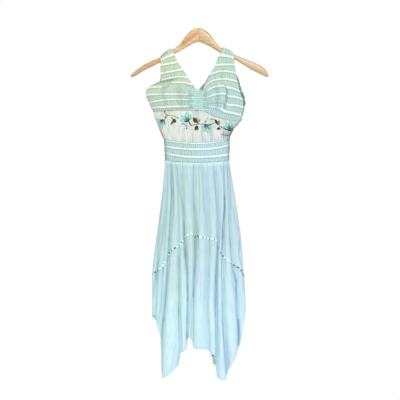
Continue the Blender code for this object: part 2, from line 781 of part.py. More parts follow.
for place, edge, toward in (("front", front_edge, FRONT), ("back", back_edge, BACK)):
    waist_shares = build_midriff("midriff_" + place, edge, toward)
    build_waistband("waistband_" + place, waist_shares, toward)

build_skirt("front", FRONT_FOLDS, UPPER_ROWS, FLOUNCE_ROWS, FRONT)
build_skirt("back", BACK_FOLDS, BACK_UPPER_ROWS, BACK_FLOUNCE_ROWS, BACK)
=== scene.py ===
import math

import bmesh
import bpy
import numpy as np
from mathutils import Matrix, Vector
from mathutils.bvhtree import BVHTree


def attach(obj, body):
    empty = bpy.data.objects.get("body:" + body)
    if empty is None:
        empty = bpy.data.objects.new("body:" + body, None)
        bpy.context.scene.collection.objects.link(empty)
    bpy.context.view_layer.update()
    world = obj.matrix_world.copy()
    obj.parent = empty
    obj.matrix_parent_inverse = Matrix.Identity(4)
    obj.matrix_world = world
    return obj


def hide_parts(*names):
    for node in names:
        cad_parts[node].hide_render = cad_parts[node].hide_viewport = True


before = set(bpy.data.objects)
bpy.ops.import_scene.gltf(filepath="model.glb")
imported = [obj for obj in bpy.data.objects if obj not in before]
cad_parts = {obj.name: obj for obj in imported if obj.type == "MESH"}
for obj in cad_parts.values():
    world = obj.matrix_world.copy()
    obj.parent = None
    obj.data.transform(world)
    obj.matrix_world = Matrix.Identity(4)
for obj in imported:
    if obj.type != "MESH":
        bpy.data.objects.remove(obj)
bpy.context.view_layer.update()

# Every size below is in millimetres, and MM turns it into metres. Heights are drops below the
# hook's bend, the origin. x runs to the right seen from the front, and the front faces -y.
MM = 0.001
FRONT = -1.0
BACK = 1.0

# The photograph: pixels across, size of a pixel at the dress, the pixel column of x = 0 and the
# pixel row and drop of the hanger's top. Then the camera's distance from the hook's plane, and
# how far before that plane the dress's front lies.
PHOTO_PIXELS = 400
PIXEL = 3.236
PIXEL_OF_AXIS = 199
PIXEL_OF_HANGER_TOP = 27
HANGER_TOP_DROP = 60.0
CAMERA_DISTANCE = 4020.0
DRESS_FRONT = 20.0
SENSOR = 36.0
FLOOR_DROP = 1500.0
FLOOR_RADIUS = 1300.0

# Cloth
CLOTH_THICK = 0.8
SEAM_GAP = 0.3
FRONT_CELL = 1.25
BACK_CELL = 1.6
SHIRR_PITCH = 6.0
SHIRR_HEIGHT = 0.48
PUFF_HEIGHT = 1.3
STRIPE_HALF = 0.12

# How much fuller each cloth is than the place that it is drawn into
BODICE_FULLNESS = 1.15
TAB_FULLNESS = 1.2
GAUZE_FULLNESS = 1.2
WAIST_FULLNESS = 1.25
SKIRT_FULLNESS = 1.1
FLOUNCE_FULLNESS = 1.05

# Hanger. Columns: x, drop of the top edge, drop of the underside, width as a share
HANGER_THICK = 12.0
HANGER = (
    (-222, 214, 219, 0.45),
    (-216, 208, 221, 0.80),
    (-204, 198, 215, 0.95),
    (-183, 182, 201, 1.0),
    (-155, 168, 187, 1.0),
    (-126, 156, 172, 1.0),
    (-94, 134, 153, 1.0),
    (-78, 126, 144, 1.0),
    (-61, 112, 135, 1.0),
    (-45, 88, 126, 1.0),
    (-29, 70, 117, 1.0),
    (-13, 61, 109, 1.0),
    (0, 59, 105, 1.0),
    (19, 66, 113, 1.0),
    (36, 81, 121, 1.0),
    (55, 109, 133, 1.0),
    (68, 123, 141, 1.0),
    (94, 136, 153, 1.0),
    (120, 149, 165, 1.0),
    (144, 159, 180, 1.0),
    (168, 168, 195, 1.0),
    (190, 178, 206, 1.0),
    (204, 184, 213, 0.95),
    (216, 195, 219, 0.85),
    (222, 204, 220, 0.75),
    (226, 214, 219, 0.45),
)
HANGER_ROUNDING = 0.6
HANGER_SIDES = 28
WIRE_RADIUS = 1.5
HOOK_INNER_RADIUS = 17.0
HOOK_START_ANGLE = -25.0
HOOK_END_ANGLE = 200.0
SHANK_TOP_DROP = 47.0
SHANK_FOOT_DROP = 80.0

# Straps over the hanger arm
STRAP_RADIUS = 8.8
STRAP_ANGLES = (1.0, 30.0, 60.0, 90.0)
STRAP_STRIPES = (0.15, 0.32, 0.5, 0.7)
STRAP_LIFT = 0.5
STRAP_CRUMPLE = 4.5
STRAP_TOPS = {"left": (-126, -86), "right": (113, 76)}
BULGE_SKEW = 1.5
WRAP_PEAK = 0.16
SIDE_TURN = 16.0

# Bodice rows. Columns: x, drop and depth at the outer edge, then at the neck or centre edge, sag
# of the row's middle, its bulge, how round it runs into the side seam, how far it passes that
# seam, and the stripe number: whole numbers lie on white lines.
CUP_LEFT = (
    (-125, 168, 9.0, -80, 148, 9.0, -2, 0, 0.0, 0, 1),
    (-125, 182, 9.4, -70, 172, 10.0, 0, 0, 0.0, 0, 2),
    (-124, 209, 11.0, -53, 196, 14.0, 0, 1, 0.1, 0, 3),
    (-124, 232, 13.0, -36, 224, 20.0, -6, 5, 0.3, 0, 4),
    (-152, 246, 6.0, -26, 240, 23.5, -3, 7, 0.9, 0, 4.55),
    (-165, 255, 0.15, -19, 254, 25.0, 0, 12, 1.0, 0, 5),
    (-173, 278, 0.15, -16, 279, 26.0, 0, 16, 1.0, 0, 6),
    (-163, 304, 0.15, -16, 299, 26.5, -6, 15, 1.0, 0, 7),
    (-155, 320, 0.15, -16, 317, 26.5, -1, 12, 1.0, 0, 8),
    (-150, 332, 0.15, -17, 329, 26.5, 0, 9, 1.0, 0, 8.5),
)
CUP_RIGHT = (
    (114, 160, 9.0, 63, 150, 9.0, -2, 0, 0.0, 0, 1),
    (115, 180, 9.6, 55, 180, 10.0, 0, 0, 0.0, 0, 2),
    (117, 207, 11.5, 39, 209, 14.0, -6, 2, 0.1, 0, 3),
    (125, 236, 14.0, 24, 238, 20.0, -9, 6, 0.3, 0, 4),
    (133, 268, 13.0, 13, 262, 25.0, -15, 12, 0.4, 0, 5),
    (143, 295, 8.0, 11, 285, 26.0, -15, 16, 0.5, 0, 6),
    (143.5, 319, 7.0, 11, 301, 26.5, -7, 16, 0.5, 0, 7),
    (138, 343, 7.0, 10, 316, 26.5, 1, 13, 0.5, 0, 8),
    (131, 364, 9.0, 8, 329, 26.5, 9, 9, 0.4, 0, 8.8),
)
BACK_LEFT = (
    (-125, 168, -9.0, -80, 148, -9.0, -2, 0, 0.0, 0, 1),
    (-125, 182, -9.4, -72, 172, -10.0, 0, 0, 0.0, 0, 2),
    (-125, 209, -10.5, -55, 196, -12.0, 0, 0, 0.1, 0, 3),
    (-128, 232, -8.0, -40, 224, -14.0, -3, 1, 0.5, 0, 4),
    (-165, 255, -0.15, -14, 252, -17.0, -3, 4, 1.0, 0, 5),
    (-173, 278, -0.15, -3, 276, -19.0, 0, 6, 1.0, 0, 6),
    (-163, 304, -0.15, -3, 303, -20.0, 0, 6, 1.0, 0, 7),
    (-150, 332, -0.15, -3, 331, -20.0, 0, 5, 1.0, 0, 8.1),
)
BACK_RIGHT = (
    (114, 160, -9.0, 63, 150, -9.0, -2, 0, 0.0, 0, 1),
    (116, 180, -9.6, 54, 180, -10.0, 0, 0, 0.0, 0, 2),
    (120, 207, -10.5, 36, 209, -12.0, 0, 0, 0.1, 0, 3),
    (132, 236, -4.0, 18, 238, -15.0, -3, 1, 0.6, 0, 4),
    (133.7, 268, 13.0, -2, 262, -18.0, -3, 4, 1.0, 10, 5),
    (143.7, 295, 8.0, -2, 285, -19.0, -3, 6, 1.0, 8, 6),
    (144.2, 319, 7.0, -2, 305, -20.0, -3, 6, 1.0, 6, 7),
    (131.7, 364, 9.0, -2, 331, -20.0, 0, 5, 1.0, 8, 8.5),
)

# Creases of the bodice. Columns: share across from the outer edge, stripe where it starts and
# ends, width as a share across, depth, darkness of its painted shade, lean inwards to a stripe
LEFT_CREASES = (
    (0.22, 2.2, 4.2, 0.05, 0.8, 0.2, 0),
    (0.55, 4.9, 7.9, 0.04, 0.9, 0.25, 0),
    (0.8, 5.0, 8.4, 0.04, 1.1, 0.25, 0),
)
RIGHT_CREASES = (
    (0.477, 4.95, 7.7, 0.024, 2.4, 0.62, 0.022),
    (0.7, 5.0, 8.2, 0.05, 1.1, 0.3, 0),
    (0.55, 2.4, 4.2, 0.06, 0.8, 0.2, 0),
)
BACK_CREASES = ((0.3, 4.5, 7.5, 0.06, 1.0, 0.25, 0), (0.65, 2.5, 6.5, 0.05, 0.9, 0.2, 0))

# How soft a crease's two ends are, by stripe
CREASE_END = 0.4

# The tuck over the left cup, where its strap runs into it: stripe of its middle, stripes either
# side, share across where it ends
TUCK_STRIPE = 4.52
TUCK_HALF = 0.22
TUCK_END = 0.66

# How far the right cup's lines are drawn down at the centre, by stripe, and how far out
LINES_DRAWN = ((3, 0.1), (4, 0.45), (5, 1.0), (6, 0.95), (7, 0.7), (8, 0.3), (8.8, 0.0))
DRAWN_REACH = 20.0

# How far the ruches at the centre reach into the cups
RUCHE_REACH = 20.0
RUCHE_PITCH = 6.6
MINT_REACH = 9.0

TAB_TOP_DROP = 266.0
TAB_FOOT_DROP = 329.0
TAB_HOLLOW = 1.5
TAB_UNDERLAP = 2.5
TAB_TOP_SINK = 2
TAB_LEFT_RISE = 12
TAB_COLUMNS = 24
TAB_ROWS = 100

# Gathers at each seam: their pitch, and how far they reach along the cloth
BUST_GATHERS = (8.0, 22.0)
WAIST_GATHERS = (8.5, 48.0)
SKIRT_GATHERS = (9.0, 55.0)
FLOUNCE_GATHERS = (8.0, 35.0)

# Midriff and waistband
MIDRIFF_LEFT_EASE = 0.85
MIDRIFF_RIGHT_EASE = 1.6
WAIST_LEFT = -110.0
WAIST_RIGHT = 98.0
WAIST_FRONT_DEPTH = 26.0
WAIST_BACK_DEPTH = 22.0
WAIST_TOP_DROP = 435.0
WAIST_FOOT_DROP = 498.5
WAIST_TOP_SMILE = 12.0
WAIST_FOOT_SMILE = 7.0
WAIST_FLARE_LEFT = 4.0
WAIST_FLARE_RIGHT = 2.5
WAIST_STRIPES = ((0.0, -0.06), (0.32, 1.0), (0.72, 2.0), (1.0, 2.75))

# Skirt
LEVELS = (499, 620, 733, 846, 960, 1073, 1186)
FRONT_DEPTH = (26, 34, 42, 50, 55, 58, 60)
BACK_DEPTH = (22, 28, 34, 40, 44, 46, 48)
FOLD_STEEPNESS = 0.45
HEADING_FADE = 40.0
HEADING_DROP = 5.0
HEADING_HALF = 4.5
HEADING_HEIGHT = 1.9
VALLEY_NARROWING = 1.5
CREASE_DEPTH = 3.5
CREASE_FADE = 8
SEAM_STEP = 2.0

# The skirt's painted shade at rest, in its Fold map, so that ridges can get a lighter painted highlight
BASE_SHADE = 0.12

# Folds from the left side seam to the right. Columns: 1 for a ridge, -1 for a valley and 0 for a
# side seam, x at each of LEVELS, depth at the waist, the seam and the hem, drop of the flounce
# seam, drop of the hem.
FRONT_FOLDS = (
    (0, (-110, -122, -137, -151, -152, -151, -151), (0, 0, 0), 860, 994),
    (1, (-108, -115, -130, -144, -148, -145, -145), (1, 3, 3), 857, 997),
    (-1, (-102, -108, -121, -136, -141, -138, -138), (2, 4, 5), 850, 1006),
    (1, (-95, -95, -107, -120, -129, -128, -128), (3, 5, 6), 838, 1036),
    (-1, (-89, -85, -94, -100, -112, -121, -122), (3, 6, 7), 790, 1168),
    (1, (-81, -76, -76, -86, -91, -99, -105), (3, 6, 8), 777, 1188),
    (-1, (-73, -68, -65, -65, -63, -60, -68), (2, 3, 7), 766, 1150),
    (1, (-66, -61, -57, -52, -49, -49, -47), (2, 4, 7), 757, 1105),
    (-1, (-58, -55, -48, -39, -34, -38, -38), (3, 8, 9), 742, 1078),
    (1, (-37, -36, -29, -27, -28, -30, -30), (3, 8, 8), 726, 1060),
    (-1, (-17, -17, -11, -15, -21, -22, -22), (3, 7, 7), 734, 1078),
    (1, (-2, 0, 6, 5, 0, 2, 2), (3, 6, 6), 739, 1102),
    (-1, (13, 19, 29, 28, 24, 31, 34), (3, 5, 4), 744, 1106),
    (1, (34, 41, 47, 44, 40, 45, 47), (3, 7, 8), 747, 1116),
    (-1, (54, 61, 63, 57, 55, 58, 58), (3, 9, 10), 753, 1160),
    (1, (68, 75, 71, 66, 66, 71, 74), (3, 7, 8), 788, 1193),
    (-1, (80, 83, 79, 75, 78, 85, 92), (3, 6, 8), 799, 1186),
    (1, (85, 90, 90, 94, 100, 106, 107), (2, 6, 9), 814, 1146),
    (-1, (90, 97, 102, 113, 125, 129, 128), (2, 5, 7), 828, 1102),
    (1, (94, 106, 119, 131, 139, 138, 138), (1, 3, 4), 842, 1048),
    (0, (98, 119, 135, 145, 152, 150, 150), (0, 0, 0), 868, 978),
)
BACK_FOLDS = (
    (0, (-110, -122, -137, -151, -152, -151, -151), (0, 0, 0), 860, 994),
    (1, (-103, -110, -124, -136, -140, -139, -139), (2, 3, 3), 850, 996),
    (-1, (-93, -97, -104, -112, -114, -112, -112), (3, 5, 6), 826, 1085),
    (1, (-78, -80, -84, -88, -88, -86, -86), (3, 7, 8), 796, 1108),
    (-1, (-61, -62, -63, -64, -62, -60, -60), (3, 6, 8), 770, 1075),
    (1, (-43, -43, -43, -42, -40, -38, -38), (3, 7, 8), 750, 1050),
    (-1, (-24, -24, -22, -20, -18, -16, -16), (3, 7, 8), 738, 1046),
    (1, (-4, -2, 0, 4, 6, 8, 8), (3, 6, 7), 732, 1062),
    (-1, (15, 18, 22, 26, 30, 32, 32), (3, 6, 8), 738, 1082),
    (1, (34, 39, 44, 50, 54, 56, 56), (3, 7, 8), 752, 1100),
    (-1, (52, 59, 66, 73, 78, 80, 80), (3, 7, 8), 774, 1112),
    (1, (69, 79, 88, 96, 101, 103, 103), (3, 6, 8), 800, 1082),
    (-1, (83, 97, 108, 117, 122, 124, 124), (2, 5, 6), 826, 1050),
    (1, (93, 111, 125, 134, 140, 141, 141), (1, 3, 3), 850, 985),
    (0, (98, 119, 135, 145, 152, 150, 150), (0, 0, 0), 868, 978),
)

# Hem of the front, where it falls in points. Columns: x, drop
FRONT_HEM = (
    (-152, 996), (-149, 1001), (-142, 1009), (-136, 1016), (-131, 1028), (-127, 1045), (-124.5, 1062),
    (-123, 1120), (-122.5, 1176), (-119, 1189), (-116, 1193), (-107, 1189), (-97, 1183),
    (-87, 1173), (-78, 1163), (-68, 1152), (-64, 1118),
    (-58, 1108), (-48, 1105), (-40, 1096), (-36, 1064), (-29, 1061), (-24, 1066), (-19, 1091),
    (-10, 1096), (0, 1098), (19, 1098), (29, 1101), (37, 1108), (42, 1112), (50, 1117),
    (54, 1146), (58, 1187),
    (68, 1195), (78, 1197), (87, 1196), (92, 1182), (96, 1165), (104, 1145), (114, 1127), (124, 1110),
    (132, 1092), (134, 1070), (139, 1030), (143, 1008), (149, 978),
)

# Fold lines that show as shadows on the front, each by its darkness, its half width and places
# given in pixels of the photograph.
FRONT_LINES = (
    (0.20, 3.2, ((162, 186), (161.9, 200), (160.2, 216), (160, 232), (158.1, 248), (157.5, 264))),
    (0.22, 3.0, ((157.5, 262), (155.5, 280), (153.3, 296), (152.2, 304), (152.2, 317))),
    (0.19, 3.0, ((167.5, 206), (166.8, 224), (165.8, 232), (165.1, 248), (164.2, 258), (163.4, 272))),
    (0.24, 3.2, ((163.4, 268), (162.7, 288), (161.7, 304), (160.2, 316), (159.9, 323))),
    (0.22, 3.4, ((171, 164), (171.3, 184), (171.9, 192), (171.2, 208), (170.1, 224), (169, 240))),
    (0.26, 3.2, ((169, 238), (167.8, 256), (166.9, 272), (165.9, 288), (164.4, 304), (162.9, 320))),
    (0.24, 3.0, ((162.9, 318), (162, 330), (161.8, 342), (162.6, 354), (163.6, 364), (163.5, 373))),
    (0.09, 2.6, ((176, 164), (175.8, 172), (176, 180))),
    (0.19, 3.0, ((177.6, 168), (179, 184), (180, 192), (181.5, 200), (183, 208), (183.8, 224))),
    (0.30, 3.6, ((183.8, 222), (184.3, 240), (185.6, 256), (187.1, 272), (187.3, 288), (187.5, 300))),
    (0.27, 3.4, ((187.5, 298), (187.3, 312), (187, 328), (186.8, 338))),
    (0.10, 2.6, ((186.1, 164), (187.4, 176), (188.7, 184), (188.4, 204))),
    (0.20, 3.0, ((193.6, 164), (193.1, 184), (193.4, 200), (194.3, 216), (194.6, 224), (195.1, 238))),
    (0.25, 3.4, ((194.6, 236), (195, 254), (194.8, 264), (193.9, 280), (193.4, 296))),
    (0.16, 3.0, ((193.4, 294), (193.2, 312), (193.2, 330), (193.2, 342))),
    (0.16, 2.8, ((199.6, 164), (199.4, 184), (199.4, 200), (199, 216), (198.7, 232), (198.9, 248))),
    (0.13, 2.8, ((198.9, 246), (199.1, 264), (200, 276), (200.8, 296))),
    (0.11, 2.8, ((202.4, 172), (202.8, 192), (204.3, 208), (206.7, 224), (209, 240), (211.3, 262))),
    (0.10, 2.6, ((207.5, 164), (208.3, 184), (210.1, 206))),
    (0.21, 3.2, ((213.2, 164), (215, 184), (216.2, 198), (217.1, 214), (217.1, 232), (217.7, 248))),
    (0.24, 3.2, ((217.7, 246), (217.1, 262), (216.2, 276), (215.8, 296), (215.4, 314))),
    (0.22, 3.2, ((215.4, 312), (215.7, 330), (216.1, 344), (215.8, 364))),
    (0.14, 3.0, ((220.2, 164), (222.4, 178), (223.6, 188), (224.6, 200))),
    (0.36, 3.6, ((224.6, 196), (224.8, 206), (224.2, 216), (223, 224), (222.8, 236), (222, 250))),
    (0.24, 3.2, ((222, 248), (221.5, 264), (221.1, 278), (221.6, 290), (222.2, 304))),
    (0.28, 3.4, ((222.2, 302), (222.8, 318), (223.7, 336), (224.4, 350), (225.7, 360), (227, 376))),
    (0.20, 3.0, ((229.3, 164), (229.5, 174), (230.5, 190), (230.8, 208))),
    (0.20, 3.0, ((228.6, 214), (229, 224), (229.4, 232), (230, 240))),
    (0.33, 3.6, ((230, 238), (230.8, 248), (231.5, 258), (232.5, 268), (235, 274), (236.4, 282))),
    (0.31, 3.6, ((236.4, 280), (236.8, 292), (237.1, 304), (237.3, 314), (238.9, 322))),
    (0.36, 3.2, ((238.9, 320), (239.1, 334), (239, 346))),
    (0.18, 2.8, ((233.1, 206), (235.1, 224), (238.1, 232), (239.3, 242))),
    (0.30, 3.0, ((239.3, 240), (238.3, 256), (240.5, 264), (241.9, 272), (243.3, 282), (244, 292))),
    (0.25, 3.2, ((178.6, 256), (178.7, 280), (178.8, 296), (178.6, 312))),
    (0.22, 3.2, ((178.6, 310), (178.9, 324), (179.4, 344), (179, 354), (177.1, 366))),
    (0.12, 2.8, ((190.9, 298), (190, 314), (189.9, 328))),
    (0.06, 2.8, ((173.1, 262), (173.3, 278), (173.3, 296))),
    (0.05, 2.8, ((210, 270), (210, 290), (209.2, 304), (208.8, 322))),
    (0.08, 2.8, ((165, 340), (164.7, 350), (164.6, 360))),
    (0.10, 2.8, ((174.9, 344), (173.4, 358), (171.4, 370))),
)

# Soft creases on the back, the same way
BACK_LINES = (
    (0.18, 3.2, ((166, 175), (164, 200), (162, 230), (160, 260))),
    (0.22, 3.2, ((168, 180), (168, 215), (166, 250), (164, 290), (164, 340))),
    (0.20, 3.2, ((180.5, 164), (180, 200), (179.5, 240), (180, 290), (180.5, 350))),
    (0.14, 2.8, ((186, 170), (187, 200), (186, 225))),
    (0.22, 3.2, ((191.6, 168), (192, 210), (193, 250), (194, 300), (194, 345))),
    (0.12, 2.8, ((198, 240), (200, 280), (201, 330))),
    (0.22, 3.2, ((203.8, 166), (206, 210), (208, 260), (209, 340))),
    (0.12, 2.8, ((211, 166), (213, 195), (214, 220))),
    (0.24, 3.4, ((215, 170), (218, 210), (222, 260), (223.6, 340))),
    (0.24, 3.4, ((225, 178), (230, 210), (235, 260), (237, 330))),
    (0.14, 2.8, ((233, 200), (238, 240), (241, 290))),
)

# Braid over the flounce seam
BRAID_WIDTH = 6.0
BRAID_PITCH = 15.0
BRAID_THICK = 0.5
BRAID_STEP = 0.8
BRAID_ACROSS = 9
BRAID_STRAND = 0.9
BRAID_TUCK = 2.5
BRAID_LIFT = 0.5

# How much of the braid's twist shows its pale side. Columns: x, share
FRONT_BRAID_PALE = (
    (-150, 0.3), (-143, 0.5), (-136, 0.15), (-128, 0.85), (-112, 0.85), (-100, 0.5), (-96, 0.2),
    (-88, 0.6), (-80, 0.3), (-72, 0.75), (-50, 0.8), (-14, 0.78), (-8, 0.15), (2, 0.2), (8, 0.75),
    (26, 0.8), (31, 0.5), (37, 0.8), (62, 0.8), (70, 0.2), (78, 0.4), (84, 0.88), (100, 0.85),
    (105, 0.3), (122, 0.2), (130, 0.6), (138, 0.15), (150, 0.1),
)
BACK_BRAID_PALE = ((-150, 0.3), (-110, 0.7), (-60, 0.5), (0, 0.8), (60, 0.5), (110, 0.65), (145, 0.3))

# Where the braid drops out of sight into a fold, from x to x
FRONT_BRAID_HIDDEN = ((-110, -101), (-51, -46), (59, 69))
BACK_BRAID_HIDDEN = ((-97, -90), (80, 88))

# Painted shadow in the turned corner of the left flap's hem: x, drop, reach across, reach up and down
CORNER_SHADOW = (-147.5, 996.5, 5.0, 3.5)

# Loose thread ends at the notch in the front hem. Root and spread are in pixels of the
# photograph, the depth is before the hook's plane, and the angles are in degrees.
LOOSE_STRANDS = 28
LOOSE_ROOT = (216.0, 351.5)
LOOSE_SPREAD = 10.0
LOOSE_DEPTH = 50.0
LOOSE_RADIUS = 0.75
LOOSE_LENGTH = 19
LOOSE_LENGTH_CHANGE = 5
LOOSE_ANGLE = 185
LOOSE_ANGLE_CHANGE = 28
LOOSE_ANGLE_RISE = 30
LOOSE_SAG = 5

# The hem, turned this far and sewn with running stitches. Columns of a stitch: the place along
# it, its rise and its width, as shares of its length and radius
HEM_TURN = 7.0
HEM_TURN_LIFT = 0.55
HEM_WOBBLE = 1.6
HEM_WOBBLE_PERIOD = 9.0
STITCH_LENGTH = 2.6
STITCH_GAP = 1.4
STITCH_RADIUS = 0.32
STITCH_SIDES = 5
STITCH_LIFT = 0.5
STITCH = ((0, -0.5, 0.7), (0.2, 0.3, 1.0), (0.5, 0.6, 1.0), (0.8, 0.3, 1.0), (1.0, -0.5, 0.7))

# The key light, in metres and watts
LIGHT_PLACE = (0.5, -2.9, 0.8)
LIGHT_AIM = (0, 0, -0.6)
LIGHT_SIZE = 1.0
LIGHT_POWER = 60.0

# Points along and across a satin stitch, and the order of corners that turns a grid's quads over
PAD_LENGTHS = 13
PAD_WIDTHS = 9
OTHER_WAY = [0, 3, 2, 1]

# Roughness of the sheen of every cloth
SHEEN_ROUGHNESS = 0.6

# Embroidery goes where a ray from the front, starting this far before the hook's plane, meets the
# gauze, or else to the nearest place to a point at the second depth.
RAY_START = 120.0
NEAREST_START = 25.0


def catmull(values, place):
    """A smooth curve through values at whole numbers, read at the array place."""
    values = np.asarray(values, float)
    last = len(values) - 1
    place = np.clip(place, 0, last)
    at = np.minimum(place.astype(int), last - 1)
    f = place - at
    f = f.reshape(f.shape + (1,) * (values.ndim - 1))
    p0 = values[np.maximum(at - 1, 0)]
    p1 = values[at]
    p2 = values[at + 1]
    p3 = values[np.minimum(at + 2, last)]
    rise = 2 * p0 - 5 * p1 + 4 * p2 - p3
    turn = 3 * p1 - p0 - 3 * p2 + p3
    return 0.5 * (2 * p1 + (p2 - p0) * f + rise * f**2 + turn * f**3)


def drift(seed, place, period):
    """Smooth noise from -1 to 1 along a line."""
    values = np.random.default_rng(seed).uniform(-1, 1, 4096)
    place = np.asarray(place, float) / period + 1000.0
    at = np.floor(place).astype(int)
    f = place - at
    f = f * f * (3 - 2 * f)
    return values[at % 4096] * (1 - f) + values[(at + 1) % 4096] * f


def cloud(seed, across, down, width, height):
    """Smooth noise from -1 to 1 over a sheet."""
    values = np.random.default_rng(seed).uniform(-1, 1, (256, 256))
    a = np.asarray(across, float) / width + 100.0
    d = np.asarray(down, float) / height + 100.0
    i = np.floor(a).astype(int)
    j = np.floor(d).astype(int)
    f = a - i
    g = d - j
    f = f * f * (3 - 2 * f)
    g = g * g * (3 - 2 * g)
    top = values[i % 256, j % 256] * (1 - f) + values[(i + 1) % 256, j % 256] * f
    foot = values[i % 256, (j + 1) % 256] * (1 - f) + values[(i + 1) % 256, (j + 1) % 256] * f
    return top * (1 - g) + foot * g


def smoothstep(low, high, value):
    """0 at low and 1 at high, with a soft start and end."""
    t = np.clip((value - low) / (high - low), 0, 1)
    return t * t * (3 - 2 * t)


def unit(vectors):
    """Vectors made one long."""
    return vectors / np.maximum(np.linalg.norm(vectors, axis=-1, keepdims=True), 1e-9)


def surface_normals(points, facing):
    """Outward unit normals of a grid of points, columns first."""
    across = np.gradient(points, axis=0, edge_order=2)
    return unit(np.cross(across, np.gradient(points, axis=1, edge_order=2)) * facing)


def lengths_along(points, axis):
    """Lengths run along a grid's rows (axis 0) or columns (axis 1), from its first point."""
    steps = np.linalg.norm(np.diff(points, axis=axis), axis=2)
    runs = np.cumsum(steps, axis=axis)
    pad = [(0, 0), (0, 0)]
    pad[axis] = (1, 0)
    return np.pad(runs, pad)


def from_sides(level):
    """How far each place of a run lies from the nearer end."""
    return np.minimum(level, level[-1] - level)


def middle_runs(points):
    """Lengths along a sheet's rows, counted from its middle column, and down its columns."""
    run = lengths_along(points, 0)
    return run - run[len(run) // 2], lengths_along(points, 1)


def runs_of(line):
    """Lengths run along one line of points."""
    return lengths_along(line[:, None], 0)[:, 0]


def read_at(places, runs, line):
    """A line's points read at these lengths."""
    return np.stack([np.interp(places, runs, column) for column in line.T], -1)


def softened(line, times):
    """Evens a line out in place, its ends held."""
    for _ in range(times):
        line[1:-1] = (line[:-2] + 2 * line[1:-1] + line[2:]) / 4
    return line


def ring(centre, first, second, radius, count):
    """Points round a centre in the plane of two directions."""
    turn = np.linspace(0, 2 * np.pi, count, endpoint=False)[:, None]
    return centre + radius * (np.cos(turn) * first + np.sin(turn) * second)


def ring_faces(rings, sides, first=0):
    """Faces between rings of points that follow one another."""
    lows = [(first + at * sides, i, (i + 1) % sides) for at in range(rings - 1) for i in range(sides)]
    return [(low + i, low + j, low + sides + j, low + sides + i) for low, i, j in lows]


def closed_rings(rings, sides):
    """The same with a flat face at either end."""
    last = (rings - 1) * sides
    ends = [tuple(range(sides - 1, -1, -1)), tuple(range(last, last + sides))]
    return ring_faces(rings, sides) + ends


def grid_quads(columns, rows):
    """Corners of the quads in a grid of points, columns first."""
    index = np.arange(columns * rows).reshape(columns, rows)
    quads = np.stack([index[:-1, :-1], index[1:, :-1], index[1:, 1:], index[:-1, 1:]], -1)
    return quads.reshape(-1, 4)


def placed(name, data):
    """An object of the scene with this data."""
    made = bpy.data.objects.new(name, data)
    bpy.context.scene.collection.objects.link(made)
    return made


def dress(made, node=None):
    """Says what a piece rides on, and hides the node it replaces."""
    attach(made, "root")
    if node:
        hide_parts(node)


def listed_piece(name, points, faces, material, cloth_map=None, outward=False):
    """A smooth piece from lists of points in millimetres, faces and places on its Cloth map."""
    mesh = bpy.data.meshes.new(name)
    mesh.from_pydata((np.array(points) * MM).tolist(), [], faces)
    mesh.polygons.foreach_set("use_smooth", [True] * len(faces))
    mesh.materials.append(material)
    if cloth_map is not None:
        index = np.empty(len(mesh.loops), np.int32)
        mesh.loops.foreach_get("vertex_index", index)
        pairs = np.array(cloth_map)[index].astype(np.float32)
        mesh.uv_layers.new(name="Cloth").uv.foreach_set("vector", pairs.reshape(-1))
    if outward:
        build = bmesh.new()
        build.from_mesh(mesh)
        bmesh.ops.recalc_face_normals(build, faces=build.faces)
        build.to_mesh(mesh)
        build.free()
    return placed(name, mesh)


def grid_piece(name, points, maps, material, flip=False, thick=CLOTH_THICK):
    """A cloth piece from a grid of points in millimetres, with UV maps named in maps."""
    quads = grid_quads(*points.shape[:2])
    if flip:
        quads = quads[:, ::-1]
    mesh = bpy.data.meshes.new(name)
    mesh.vertices.add(points.size // 3)
    mesh.vertices.foreach_set("co", (points * MM).reshape(-1))
    mesh.loops.add(quads.size)
    mesh.loops.foreach_set("vertex_index", quads.reshape(-1).astype(np.int32))
    mesh.polygons.add(len(quads))
    mesh.polygons.foreach_set("loop_start", np.arange(0, quads.size, 4, dtype=np.int32))
    mesh.update(calc_edges=True)
    mesh.polygons.foreach_set("use_smooth", np.ones(len(quads), bool))
    for label, across, down in maps:
        pairs = np.stack([across.reshape(-1), down.reshape(-1)], -1)[quads.reshape(-1)]
        layer = mesh.uv_layers.new(name=label)
        layer.uv.foreach_set("vector", pairs.astype(np.float32).reshape(-1))
    mesh.materials.append(material)
    made = placed(name, mesh)
    wall = made.modifiers.new("cloth thickness", "SOLIDIFY")
    wall.thickness = thick * MM
    wall.offset = -1
    wall.use_even_offset = False
    return made


def cloth_piece(
    node, slot, points, maps, material, facing, fullness, held="gathered", rests_on=(), name=None
):
    """A sheet that replaces a node."""
    made = grid_piece(name or node + "_cloth", points, maps, material, facing == FRONT)
    dress(made, node)


